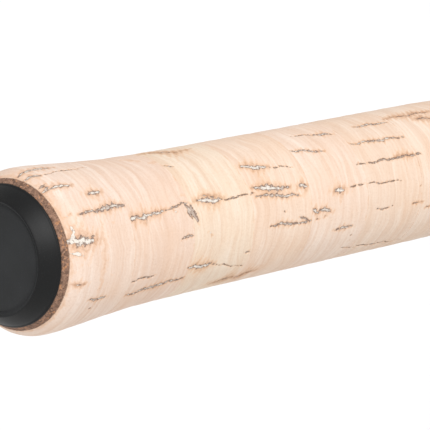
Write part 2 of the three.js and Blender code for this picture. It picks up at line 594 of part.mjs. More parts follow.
function buildHandle(group) {
  const onCrank = { axis: "y", at: [0, 0, CRANK_Z] };
  const knobZ = CRANK_Z - HANDLE_LENGTH;
  const strip = slabYZ(polygon([
    [22.6, CRANK_Z + 4.5], [23.8, CRANK_Z - 11], [35.2, CRANK_Z - 31.2], [36.8, knobZ - 4],
    [40.2, knobZ - 4], [38.9, CRANK_Z - 29], [27.2, CRANK_Z - 9], [26.6, CRANK_Z + 4.5],
  ]), -4, 4);
  const hub = rod(19.3, 26.8, 5.5, onCrank);
  const knobShaft = rod(38, 60, 1.9, { axis: "y", at: [0, 0, knobZ] });
  const arm = cut(join(strip, hub, knobShaft), rod(18, 24.2, CRANK_SHAFT_RADIUS + 0.12, onCrank));
  addPiece(group, "handle_arm", ANODISED, arm);
  addPiece(group, "handle_knob", BLACK_RUBBER, turned([
    [41, 2.05], [41, 5.2], [44, 6.2], [52, 7], [58, 6.6], [61, 5], [62, 3], [62, 0],
    [60.4, 0], [60.4, 2.05],
  ], { axis: "y", bored: true, sides: 24, at: [0, 0, knobZ] }));
  addPiece(group, "screw_cap", ANODISED, cut(
    turned([[-17.6, 0], [-17.6, 4.6], [-16.8, 5.5], [-12.9, 5.5], [-12.9, 0]], { ...onCrank, sides: 24 }),
    rod(-16.2, -12, CRANK_SHAFT_RADIUS + 0.12, onCrank),
  ));
  const paddle = slabXY(stadium([-11, 0], [-24, 0], 2.4), -27.6, -25.6);
  const pivot = rod(-27.6, -25.6, 4.4, { axis: "z", at: [-11, 0, 0] });
  addPiece(group, "anti_reverse_lever", BLACK_RUBBER, join(paddle, pivot));
}

buildHousing(reel);
buildGearTrain(reel);
buildRotor(reel);
buildBail(reel);
buildSpool(reel);
buildHandle(reel);

export default product;
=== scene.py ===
"""A short spinning rod with its reel fitted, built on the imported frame."""

import functools
import json
import math
import random

import bmesh
import bpy
import numpy as np
from mathutils import Matrix, Vector


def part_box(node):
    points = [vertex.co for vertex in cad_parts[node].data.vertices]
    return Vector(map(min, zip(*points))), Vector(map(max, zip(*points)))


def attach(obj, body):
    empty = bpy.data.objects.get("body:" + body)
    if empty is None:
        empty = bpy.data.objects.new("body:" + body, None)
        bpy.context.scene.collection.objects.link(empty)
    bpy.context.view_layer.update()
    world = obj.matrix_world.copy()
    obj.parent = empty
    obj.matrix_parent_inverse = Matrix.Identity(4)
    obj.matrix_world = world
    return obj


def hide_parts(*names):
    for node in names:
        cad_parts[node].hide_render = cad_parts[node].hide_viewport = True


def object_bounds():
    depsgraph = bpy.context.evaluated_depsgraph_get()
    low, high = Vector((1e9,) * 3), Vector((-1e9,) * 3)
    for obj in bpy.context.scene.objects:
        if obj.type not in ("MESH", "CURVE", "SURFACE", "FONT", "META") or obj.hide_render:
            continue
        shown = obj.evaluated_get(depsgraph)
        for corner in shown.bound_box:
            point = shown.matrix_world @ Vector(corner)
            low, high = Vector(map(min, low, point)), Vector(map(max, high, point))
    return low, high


bl_info = {
    "name": "Spinning Rod and Reel",
    "version": (1, 0, 0),
    "blender": (4, 5, 0),
    "location": "3D View > Sidebar > Rod",
    "description": "Builds a cork-gripped spinning rod and its reel piece by piece",
    "category": "Object",
}

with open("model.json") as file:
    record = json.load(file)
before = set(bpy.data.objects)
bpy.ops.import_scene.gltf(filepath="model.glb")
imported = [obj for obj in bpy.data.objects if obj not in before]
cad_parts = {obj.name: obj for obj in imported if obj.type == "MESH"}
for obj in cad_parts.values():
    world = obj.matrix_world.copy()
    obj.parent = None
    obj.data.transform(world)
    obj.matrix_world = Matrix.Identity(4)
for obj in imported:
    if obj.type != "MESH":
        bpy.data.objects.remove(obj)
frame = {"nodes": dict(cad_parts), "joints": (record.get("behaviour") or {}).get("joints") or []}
CAD_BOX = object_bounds()
MM = 0.001


def node_box(node):
    """A CAD node's low and high corners in millimetres."""
    low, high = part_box(node)
    return low / MM, high / MM


# ---- places and sizes, in millimetres -----------------------------------------------------------

JOINT_AT = {j["name"]: Vector(j.get("pos_m", (0, 0, 0))) / MM for j in frame["joints"]}
CRANK = JOINT_AT["crank_turn"]
# The spool's axis, under the middle of the foot.
REEL = Vector((CRANK.x, 0, JOINT_AT["rotor_spin"].z))
BAIL = JOINT_AT["bail_flip"]
ROLLER = JOINT_AT["line_roller_spin"]
KNOB = Vector((CRANK.x, 0, JOINT_AT["handle_knob_spin"].z))

RIM_X = 2.54  # the butt cap's rim stands this far ahead of its flat face
RING_THICKNESS = 12.7  # cork is cut into half-inch rings
FIRST_JOINT_X = 3.04  # where the rings' pitch is counted from
REAR_RINGS = 8
COMPOSITE_THICKNESS = 1.0
FORE_RINGS = 4
CORK_RADIUS = 10.0  # of both grips, for working out how finely they are divided
SPIGOT_BORE, REAR_BORE, FORE_BORE = 7.2, 4.4, 3.6  # radii of the holes through the cork rings
CAP_ETCHED_RADIUS = 7.5  # the cap's face is etched out to here
# Outer radius of the rear grip by distance ahead of the cap's rim.
GRIP_PROFILE = (
    (0, 9.55), (0.35, 9.78), (0.7, 10.02), (1.0, 10.2), (1.5, 10.62), (2.0, 10.96), (2.7, 11.17),
    (3.5, 11.26), (5.5, 11.21), (8, 11.06), (11, 10.82), (15, 10.54), (20, 10.24), (26, 10.1),
    (34, 10.02), (44, 10), (300, 10),
)
# Outer radius of the fore grip by distance along it.
FORE_PROFILE = ((0, 9), (2, 9.4), (14, 9.7), (26, 9), (38, 7.6), (48, 6.4), (50.8, 6))
BLANK_ENDS = ((14, 3.6), (654, 0.75))
# The seat's barrel: radii at the foot of the rear hood, along the saddle, at the thread's root and
# in its bore, and how low the saddle's flat lies.
SEAT_REAR, SEAT_WAIST, SEAT_ROOT, SEAT_BORE, SADDLE_FLAT = 9.4, 8.6, 8.3, 4.0, -7.0
SEAT_STEP = (17.0, 18.5)  # where the barrel steps down, from its rear end
SADDLE_START = 10.0
SEAT_THREAD_LENGTH = 21.0
THREAD_RISE = 0.36
NUT_BORE = 8.76
# Line guides: ring's bore radius and its drop below the rod's axis, from the butt forwards.
GUIDES = ((6.0, 15.0), (4.0, 10.8), (3.0, 8.4), (2.4, 7.0))
GUIDE_WIDTH, GUIDE_INSERT_WALL, GUIDE_RIM_WALL = 1.8, 1.1, 0.9
TIP_WIDTH, TIP_BORE, TIP_INSERT, TIP_RIM_WALL = 1.4, 1.9, 2.6, 0.8
# The bail's screws stand outside the rotor's arms, and its plates turn on bosses.
BAIL_SCREW_BASE, BAIL_SCREW_TOP, BAIL_SCREW_RADIUS = 30.3, 31.5, 4.0
BAIL_PLATE_HOLE = 3.35
# How finely small castings are rounded over.
ALLOY_DETAIL, BAIL_DETAIL, LEVER_DETAIL = 0.3, 0.25, 0.2


def grip_radius(x):
    """Outer radius of the rear grip at x, rounded over smoothly and taken in at its front end."""
    along, radius = zip(*GRIP_PROFILE)
    front = FIRST_JOINT_X + REAR_RINGS * RING_THICKNESS
    nose = np.clip(1 - (front - x) / RING_THICKNESS, 0, 1) ** 2 * 0.7
    spread = [np.interp(x - RIM_X + shift, along, radius) for shift in (-0.5, -0.25, 0, 0.25, 0.5)]
    near_rim = np.interp(x - RIM_X, along, radius)
    blend = np.clip((x - RIM_X - 1.0) / 1.5, 0, 1)
    return near_rim * (1 - blend) + np.mean(spread, axis=0) * blend - nose


def fore_radius(x):
    """Outer radius of the fore grip at x."""
    along, radius = zip(*FORE_PROFILE)
    start = node_box("fore_grip")[0].x
    return np.mean([np.interp(x - start + shift, along, radius) for shift in (-2, -1, 0, 1, 2)])


def blank_radius(x):
    """Outer radius of the tapered blank at x."""
    (x0, r0), (x1, r1) = BLANK_ENDS
    return float(np.interp(x, (x0, x1), (r0, r1)))


# ---- colour and shader nodes --------------------------------------------------------------------


def srgb(code):
    """A hex colour as linear red, green, blue and full alpha."""
    parts = [int(code[i:i + 2], 16) / 255 for i in (1, 3, 5)]
    linear = (c / 12.92 if c <= 0.04045 else ((c + 0.055) / 1.055) ** 2.4 for c in parts)
    return (*linear, 1.0)


def shade(colour, share):
    """A linear colour made lighter or darker."""
    return (*(min(1.0, c * share) for c in colour[:3]), 1.0)


def new_material(name):
    """An empty node material, and the function that adds nodes to it."""
    material = bpy.data.materials.new(name)
    material.use_nodes = True
    material.node_tree.nodes.clear()
    return material, functools.partial(add_node, material.node_tree)


def add_node(tree, kind, sockets, out=0, stops=(), **settings):
    """Adds a shader node and returns one of its outputs. A socket takes a number, a hex colour or
    an output to link. The stops are a colour ramp's, each a position and a grey or a hex colour."""
    made = tree.nodes.new("ShaderNode" + kind)
    for name, value in settings.items():
        setattr(made, name, value)
    for socket, value in sockets.items():
        if isinstance(value, bpy.types.NodeSocket):
            tree.links.new(value, made.inputs[socket])
        else:
            made.inputs[socket].default_value = srgb(value) if isinstance(value, str) else value
    if stops:
        points = made.color_ramp.elements
        points[0].position, points[1].position = stops[0][0], stops[-1][0]
        for position, _ in stops[1:-1]:
            points.new(position)
        for point, (_, tone) in zip(points, stops):
            point.color = srgb(tone) if isinstance(tone, str) else (tone, tone, tone, 1)
    return made.outputs[out] if made.outputs else None


def millimetres(add, stretch=(1, 1, 1)):
    """The point being shaded, in the part's frame, in millimetres, stretched along each axis."""
    per_mm = [value / MM for value in stretch]
    return add("VectorMath", {0: add("TexCoord", {}, "Object"), 1: per_mm}, operation="MULTIPLY")


def lay_over(add, colour, layers):
    """Lays each tone over a colour, as strongly as its pattern says between the ramp's stops."""
    for pattern, stops, tone in layers:
        share = add("ValToRGB", {"Fac": pattern}, stops=stops)
        colour = add("Mix", {0: share, 6: colour, 7: tone}, 2, data_type="RGBA")
    return colour


# A ramp that spreads the middle of a noise over its whole range.
SOFTLY = ((0.3, 0.0), (0.7, 1.0))


def varied(add, colour, pattern):
    """A colour that drifts a little darker and lighter with a pattern."""
    return lay_over(add, shade(colour, 0.85), ((pattern, SOFTLY, shade(colour, 1.15)),))


def surface(add, height, depth, strength, **sockets):
    """Ends a material: a shader with these sockets, whose skin a height raises by up to depth
    millimetres."""
    normal = add("Bump", {"Height": height, "Distance": depth * MM, "Strength": strength})
    named = {name.replace("_", " "): value for name, value in sockets.items()}
    shader = add("BsdfPrincipled", {**named, "Normal": normal})
    add("OutputMaterial", {"Surface": shader})


# ---- materials ----------------------------------------------------------------------------------


def sanded_cork(colours):
    """Natural cork, turned and sanded. Pale peach, with growth lines round the grip, fine grain,
    and grey-brown channels along it, part filled with white paste and stained rusty beside."""
    material, add = new_material("sanded_natural_cork")
    place = millimetres(add)
    tint = add("Attribute", {}, "Color", attribute_name="tint")
    ring, channel, filler, rust = (
        add("Attribute", {}, "Fac", attribute_name=name)
        for name in ("ring", "channel", "filler", "rust")
    )

    # Growth layers: thin across the ring, long round it, and gently wavy. Each ring has its own.
    wave = add("TexNoise", {"Vector": place, "Scale": 0.14, "Detail": 3.0}, "Color")
    drift = add("VectorMath", {0: wave, 1: (-0.5, -0.5, -0.5)}, operation="ADD")
    drift = add("VectorMath", {0: drift, 1: (3.2, 0, 0)}, operation="MULTIPLY")
    own = add("CombineXYZ", {"X": add("Math", {0: ring, 1: 37.0}, operation="MULTIPLY")})
    warped = add("VectorMath", {0: place, 1: drift}, operation="ADD")
    warped = add("VectorMath", {0: warped, 1: own}, operation="ADD")
    layered = add("VectorMath", {0: warped, 1: (1.0, 0.035, 0.035)}, operation="MULTIPLY")
    hairs = add("VectorMath", {0: warped, 1: (1.0, 0.06, 0.06)}, operation="MULTIPLY")
    broad = add("TexNoise", {"Vector": layered, "Scale": 0.45, "Detail": 2.0, "Roughness": 0.5})
    fine = add("TexNoise", {"Vector": hairs, "Scale": 1.7, "Detail": 3.0, "Roughness": 0.6})
    # Slow patches, and a grain of cells about a third of a millimetre wide.
    patch = add("TexNoise", {"Vector": place, "Scale": 0.16, "Detail": 2.0})
    grain = add("TexNoise", {"Vector": place, "Scale": 3.2, "Detail": 2.0, "Roughness": 0.7})
    # The channels' edges are ragged, and stains and paste follow them loosely.
    torn = add("TexNoise", {"Vector": place, "Scale": 2.1, "Detail": 3.0, "Roughness": 0.6})
    centred = add("Math", {0: torn, 1: 0.5}, operation="SUBTRACT")
    ragged = add("Math", {0: centred, 1: 0.8}, operation="MULTIPLY")
    stained, open_edge, filled = (
        add("Math", {0: field, 1: ragged}, operation="ADD") for field in (rust, channel, filler)
    )
    # A channel is darkest along its lip and greyer where it is deep.
    bark = add("ValToRGB", {"Fac": open_edge}, stops=(
        (0.55, "#8a7265"), (0.68, "#7d695f"), (0.95, "#b3a398"),
    ))
    oxide = add("ValToRGB", {"Fac": stained}, stops=((0.45, "#dfa770"), (0.95, "#a87349")))
    # Crumbs of pale cork lie in the channels, and specks of bark in the paste.
    bark = lay_over(add, bark, ((grain, ((0.52, 0.0), (0.6, 0.7)), "#d2c6bb"),))
    paste = lay_over(add, "#ddd5cb", ((grain, ((0.36, 0.8), (0.44, 0.0)), "#9a8a7f"),))
    colour = lay_over(add, tint, (
        (broad, ((0.48, 0.0), (0.62, 0.19)), "#c9a082"),
        (fine, ((0.5, 0.0), (0.6, 0.2)), "#c89f80"),
        (fine, ((0.36, 0.32), (0.46, 0.0)), "#eaddd0"),
        (patch, ((0.4, 0.0), (0.7, 0.25)), "#d8b292"),
        (grain, ((0.3, 0.14), (0.5, 0.0)), "#b08a6c"),
        (stained, ((0.3, 0.0), (0.75, 0.42), (1.0, 0.7)), oxide),
        (open_edge, ((0.5, 0.0), (0.6, 0.9)), bark),
        (filled, ((0.5, 0.0), (0.6, 0.95)), paste),
    ))
    sunk = add("ValToRGB", {"Fac": open_edge}, stops=((0.5, 1.0), (0.7, 0.0)))
    made_up = add("ValToRGB", {"Fac": filled}, stops=((0.52, 0.0), (0.64, 0.8)))
    level = add("Math", {0: sunk, 1: made_up}, operation="ADD")
    height = add("Math", {0: level, 1: grain}, operation="ADD")
    surface(add, height, 0.1, 0.8, Base_Color=colour, Roughness=0.74, Specular_IOR_Level=0.25)
    return material


def ground_cork(colours):
    """Composite cork: granules about half a millimetre across bound in dark glue, turned smooth.
    It reads as a mottled brown band with a few orange flecks."""
    material, add = new_material("ground_composite_cork")
    place = millimetres(add)
    wobble = add("TexNoise", {"Vector": place, "Scale": 1.6, "Detail": 2.0}, "Color")
    bent = add("VectorMath", {0: place, 1: wobble}, operation="ADD")
    cells = add(
        "TexVoronoi", {"Vector": bent, "Scale": 3.4, "Smoothness": 0.2}, "Color",
        feature="SMOOTH_F1",
    )
    pick = add("SeparateColor", {"Color": cells})
    mottled = add("TexNoise", {"Vector": place, "Scale": 4.6, "Detail": 3.0, "Roughness": 0.8})
    colour = lay_over(add, tuple(colours.composite), (
        (pick, ((0.15, 0.9), (0.4, 0.0)), shade(colours.composite, 0.5)),
        (pick, ((0.6, 0.0), (0.8, 0.7)), shade(colours.composite, 1.5)),
        (pick, ((0.88, 0.0), (0.93, 0.8)), "#b9855f"),
        (mottled, ((0.46, 0.0), (0.62, 0.6)), shade(colours.composite, 0.4)),
    ))
    surface(add, mottled, 0.12, 0.7, Base_Color=colour, Roughness=0.8, Specular_IOR_Level=0.25)
    return material


def moulded_rubber(colours, etched_to=1000.0):
    """Black EPDM out of a finely etched mould: matt dark grey, with a faint sparkle of grit.
    Further from the rod's axis than etched_to millimetres the mould is polished, and the rubber is
    blacker. The default is past every piece."""
    material, add = new_material("moulded_epdm_rubber")
    place = millimetres(add)
    across = add("VectorMath", {0: place, 1: (0, 1, 1)}, operation="MULTIPLY")
    radius = add("VectorMath", {0: across}, "Value", operation="LENGTH")
    polished = add("MapRange", {
        "Value": radius, "From Min": etched_to, "From Max": etched_to + 0.3,
    })
    cloud = add("TexNoise", {"Vector": place, "Scale": 0.25, "Detail": 2.0})
    grit = add("TexNoise", {"Vector": place, "Scale": 7.0, "Detail": 2.0, "Roughness": 0.7})
    colour = lay_over(add, tuple(colours.rubber), (
        (cloud, SOFTLY, shade(colours.rubber, 1.35)),
        (polished, ((0.0, 0.0), (1.0, 1.0)), shade(colours.rubber, 0.2)),
        (grit, ((0.62, 0.0), (0.75, 0.35)), shade(colours.rubber, 4.0)),
    ))
    gloss = add("MapRange", {"Value": polished, "To Min": 0.62, "To Max": 0.46})
    shine = add("MapRange", {"Value": polished, "To Min": 0.3, "To Max": 0.24})
    surface(add, grit, 0.02, 0.6, Base_Color=colour, Roughness=gloss, Specular_IOR_Level=shine)
    return material


def coated_carbon(colours):
    """Rolled carbon fibre under a clear coat: near black, with the faint spiral of the wrapping
    tape, which is laid on about 2 mm apart."""
    material, add = new_material("coated_carbon_fibre")
    spiral = add(
        "TexWave", {"Vector": millimetres(add), "Scale": 0.155, "Distortion": 0.4}, "Fac",
        bands_direction="X",
    )
    fibre = add("TexNoise", {
        "Vector": millimetres(add, (0.05, 3, 3)), "Scale": 1.0, "Detail": 3.0, "Roughness": 0.7,
    })
    colour = lay_over(add, tuple(colours.carbon), (
        (fibre, ((0.4, 0.0), (0.65, 1.0)), shade(colours.carbon, 3.0)),
        (spiral, ((0.6, 0.0), (0.95, 0.35)), shade(colours.carbon, 4.5)),
    ))
    surface(
        add, spiral, 0.03, 0.5, Base_Color=colour, Roughness=0.42, Coat_Weight=0.9,
        Coat_Roughness=0.06,
    )
    return material


def even_skin(name, colour, roughness, metallic, grit=4.0, depth=0.01, **sockets):
    """A moulded, painted or blasted skin: its colour drifts a little, with a fine grit in its
    gloss. The grit is how many lumps there are to a millimetre."""
    material, add = new_material(name)
    place = millimetres(add)
    cloud = add("TexNoise", {"Vector": place, "Scale": 0.12, "Detail": 3.0})
    fine = add("TexNoise", {"Vector": place, "Scale": grit, "Detail": 2.0, "Roughness": 0.65})
    painted = varied(add, colour, cloud)
    gloss = add("MapRange", {"Value": fine, "To Min": roughness * 0.85, "To Max": roughness * 1.15})
    surface(
        add, fine, depth, 0.5, Base_Color=painted, Roughness=gloss, Metallic=metallic, **sockets
    )
    return material


def turned_metal(name, colour, roughness, pitch=0.12):
    """Metal turned on a lathe: fine rings round the rod's axis, in colour and in gloss. The tool's
    feed of 0.1 mm is drawn a little coarser, so that it shows."""
    material, add = new_material(name)
    rings = add("TexNoise", {
        "Vector": millimetres(add, (1 / pitch, 0.05, 0.05)), "Scale": 1.0, "Roughness": 0.6,
    })
    cut = varied(add, colour, rings)
    gloss = add("MapRange", {"Value": rings, "To Min": roughness * 0.75, "To Max": roughness * 1.3})
    surface(add, rings, 0.01, 0.5, Base_Color=cut, Roughness=gloss, Metallic=1.0)
    return material


def lacquered_thread(name, colour):
    """Nylon whipping under two coats of epoxy. The 0.2 mm thread is drawn as 0.35 mm so that it
    shows, softly, through the gloss."""
    material, add = new_material(name)
    place = millimetres(add)
    turns = add(
        "TexWave", {"Vector": place, "Scale": 0.9, "Distortion": 0.3}, "Fac", bands_direction="X"
    )
    wound = lay_over(
        add, shade(colour, 0.6), ((turns, ((0.2, 0.0), (0.8, 1.0)), shade(colour, 1.3)),)
    )
    pool = add("TexNoise", {"Vector": place, "Scale": 0.5, "Detail": 1.0})
    surface(
        add, pool, 0.05, 0.4, Base_Color=wound, Roughness=0.5, Coat_Weight=1.0, Coat_Roughness=0.04
    )
    return material


# Each finish by a short name. What the user may change comes from the colour settings.
FINISHES = {
    "cork": sanded_cork,
    "composite": ground_cork,
    "rubber": moulded_rubber,
    "cap_rubber": lambda c: moulded_rubber(c, CAP_ETCHED_RADIUS),
    "carbon": coated_carbon,
    # Graphite-filled nylon: dark, with a dull sheen off the mould.
    "seat": lambda c: even_skin("graphite_filled_nylon", c.seat, 0.42, 0.0, 3.0, 0.02),
    # Anodised over bead-blasted or turned alloy: a satin gunmetal with soft highlights.
    "anodised": lambda c: turned_metal("anodised_turned_alloy", c.anodised, 0.32),
    "anodised_cast": lambda c: even_skin("anodised_blasted_alloy", c.anodised, 0.34, 1.0),
    # Powder paint on a die casting: an even satin skin with slight orange peel.
    "paint": lambda c: even_skin(
        "satin_powder_paint", c.housing, 0.36, 0.0, 1.6, 0.02, Coat_Weight=0.4, Coat_Roughness=0.2
    ),
    # Electropolished stainless wire and levers: bright, with almost no grain.
    "bright": lambda c: even_skin(
        "polished_stainless_steel", srgb("#d2d5d8"), 0.14, 1.0, 3.0, 0.004
    ),
    "steel": lambda c: even_skin("ground_steel", srgb("#9da0a4"), 0.3, 1.0),
    "brass": lambda c: even_skin("cut_brass", srgb("#c49f55"), 0.3, 1.0),
    "spool": lambda c: turned_metal("clear_anodised_spool", c.spool, 0.2, 0.2),
    # Sintered aluminium oxide, tumbled to a dark glassy gloss.
    "ceramic": lambda c: even_skin(
        "polished_oxide_ceramic", srgb("#33373c"), 0.1, 0.0, 2.0, 0.002, IOR=1.76
    ),
    "whipping": lambda c: lacquered_thread("lacquered_thread", c.thread),
    "whipping_band": lambda c: lacquered_thread("lacquered_accent_thread", c.accent),
}
MADE = {}


def finish_of(name):
    """The material of that short name, made the first time it is asked for."""
    if name not in MADE:
        MADE[name] = FINISHES[name](bpy.context.scene.rod_colours)
    return MADE[name]


# ---- mesh tools ---------------------------------------------------------------------------------


def finished(bm, name, finish, body, nodes=(), smooth_angle=35.0):
    """Turns a mesh worked in millimetres into a piece in metres that rides on its body."""
    bmesh.ops.scale(bm, vec=(MM, MM, MM), verts=bm.verts)
    mesh = bpy.data.meshes.new(name)
    bm.to_mesh(mesh)
    bm.free()
    return placed(mesh, name, finish, body, nodes, smooth_angle)


def placed(mesh, name, finish, body, nodes=(), smooth_angle=35.0):
    """Makes a mesh a piece: smooth shaded up to an angle, painted, and riding on its body."""
    mesh.shade_smooth()
    if smooth_angle < 180:
        mesh.set_sharp_from_angle(angle=math.radians(smooth_angle))
    mesh.materials.clear()
    mesh.materials.append(finish_of(finish))
    piece = bpy.data.objects.new(name, mesh)
    bpy.context.scene.collection.objects.link(piece)
    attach(piece, body)
    if nodes:
        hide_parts(*nodes)
    return piece


def carry_over(finish, *nodes):
    """Keeps CAD nodes as they are and paints them."""
    for node in nodes:
        data = frame["nodes"][node].data
        data.materials.clear()
        data.materials.append(finish_of(finish))


def clean(bm):
    """Merges doubles and turns every face outwards."""
    bmesh.ops.remove_doubles(bm, verts=bm.verts, dist=1e-4)
    bmesh.ops.recalc_face_normals(bm, faces=bm.faces)


AXES = {"x": Vector((1, 0, 0)), "y": Vector((0, 1, 0)), "z": Vector((0, 0, 1))}
OUTWARDS = {"x": Vector((0, 0, 1)), "y": Vector((0, 0, 1)), "z": Vector((1, 0, 0))}


def spin_profile(bm, profile, axis="x", steps=64, centre=(0, 0, 0), closed=False):
    """Adds a turned form. The profile lists (distance along the axis, radius)."""
    centre = Vector(centre)
    points = [
        bm.verts.new(centre + AXES[axis] * along + OUTWARDS[axis] * radius)
        for along, radius in profile
    ]
    edges = [bm.edges.new(pair) for pair in zip(points, points[1:])]
    if closed:
        edges.append(bm.edges.new((points[-1], points[0])))
    bmesh.ops.spin(
        bm, geom=points + edges, cent=centre, axis=AXES[axis], angle=math.tau, steps=steps,
        use_merge=True,
    )


def flute(bm, count, depth, low, high, axis, centre, least):
    """Presses count flutes into a turned form between two distances along its axis, wherever it
    is wider than the least radius."""
    centre, along_axis, first = Vector(centre), AXES[axis], OUTWARDS[axis]
    second = along_axis.cross(first)
    for vert in bm.verts:
        arm = vert.co - centre
        along = arm.dot(along_axis)
        radial = arm - along_axis * along
        if low <= along <= high and radial.length > least:
            wave = 0.5 - 0.5 * math.cos(count * math.atan2(radial.dot(second), radial.dot(first)))
            vert.co -= radial.normalized() * depth * wave


def turned(
    name, profile, finish, body, nodes, axis="x", steps=64, centre=(0, 0, 0), closed=False,
    flutes=(), smooth_angle=35.0,
):
    """A turned piece from one profile. A row of flutes is (count, depth, low, high, least)."""
    bm = bmesh.new()
    spin_profile(bm, profile, axis, steps, centre, closed)
    clean(bm)
    for count, depth, low, high, least in flutes:
        flute(bm, count, depth, low, high, axis, centre, least)
    return finished(bm, name, finish, body, nodes, smooth_angle)


def taken_from(work):
    """The finished mesh of a working object, which is then removed."""
    evaluated = work.evaluated_get(bpy.context.evaluated_depsgraph_get())
    mesh = bpy.data.meshes.new_from_object(evaluated)
    bpy.data.objects.remove(work)
    return mesh


def softened(name, node, finish, body, voxel, passes):
    """A casting or moulding with the CAD node's shape and its edges rounded over."""
    bm = bmesh.new()
    bm.from_mesh(frame["nodes"][node].data)
    bmesh.ops.remove_doubles(bm, verts=bm.verts, dist=1e-6)
    mesh = bpy.data.meshes.new(name)
    bm.to_mesh(mesh)
    bm.free()
    work = bpy.data.objects.new(name + "_work", mesh)
    bpy.context.scene.collection.objects.link(work)
    remesh = work.modifiers.new("Remesh", "REMESH")
    remesh.mode = "VOXEL"
    remesh.voxel_size = voxel * MM
    smooth = work.modifiers.new("Smooth", "SMOOTH")
    smooth.factor = 0.5
    smooth.iterations = passes
    result = taken_from(work)
    result.name = name
    return placed(result, name, finish, body, (node,), 180)


def add_wire(bm, points, radius, sides=12, radii=None):
    """Adds a round wire along a smooth route through points, in millimetres, to a mesh."""
    curve = bpy.data.curves.new("wire", "CURVE")
    curve.dimensions = "3D"
    curve.bevel_depth = radius
    curve.bevel_resolution = sides // 4
    curve.resolution_u = 8
    curve.use_fill_caps = True
    spline = curve.splines.new("NURBS")
    spline.points.add(len(points) - 1)
    for i, (point, place) in enumerate(zip(spline.points, points)):
        point.co = (*place, 1)
        point.radius = radii[i] if radii else 1
    spline.order_u = 3
    spline.use_endpoint_u = True
    work = bpy.data.objects.new("wire", curve)
    bpy.context.scene.collection.objects.link(work)
    bpy.context.view_layer.update()
    mesh = taken_from(work)
    bm.from_mesh(mesh)
    bpy.data.meshes.remove(mesh)


def rounded_section(low, high, inner, outer, corner, points=3):
    """A rectangle in (along, radius) with rounded corners, as a closed profile."""
    middles = ((low + corner, inner + corner), (low + corner, outer - corner),
               (high - corner, outer - corner), (high - corner, inner + corner))
    section = []
    for i, (along, radius) in enumerate(middles):
        start = math.pi * (1.5 - 0.5 * i)
        for k in range(points + 1):
            angle = start - k / points * math.pi / 2
            section.append((along + corner * math.cos(angle), radius + corner * math.sin(angle)))
    return section


# ---- cork ---------------------------------------------------------------------------------------

# How each kind of mark shows: the width of its dark channel, its white paste and its stain, as
# shares of the mark's width, how far it breaks up into beads, and how strong it gets if not fully.
MARK_KINDS = {
    "streak": {"channel": 0.95, "filler": 0.3, "rust": 2.4, "beads": 0.6},
    "line": {"channel": 0.8, "filler": 0.0, "rust": 1.2, "beads": 0.5},
    "paste": {"channel": 1.0, "filler": 0.5, "rust": 3.2, "beads": 0.55},
    "pit": {"channel": 1.25, "filler": 0.0, "rust": 1.4, "beads": 0.1},
    "stain": {"channel": 0.1, "filler": 0.0, "rust": 1.5, "beads": 0.6},
    # A smear is a painted highlight in the white paste's tone, with a stain round it.
    "highlight_and_stain": {"channel": 0.0, "filler": 0.6, "rust": 1.2, "beads": 0.8},
    "knot": {"channel": 0.2, "filler": 0.0, "rust": 1.9, "beads": 0.6},
    "tinge": {"channel": 0.0, "filler": 0.0, "rust": 1.0, "beads": 0.5, "peak": 0.68},
}
# The glue at each joint stains the cork beside it all the way round. The wider band of the same
# tinge by the composite ring is painted shade, where the cork meets that ring.
COMPOSITE_JOINT_SHADE = ((0.5, -180), (0.5, 180), 0.65, "tinge")
GLUE_LINE = ((RING_THICKNESS + 0.12, -180), (RING_THICKNESS + 0.12, 180), 0.24, "tinge")
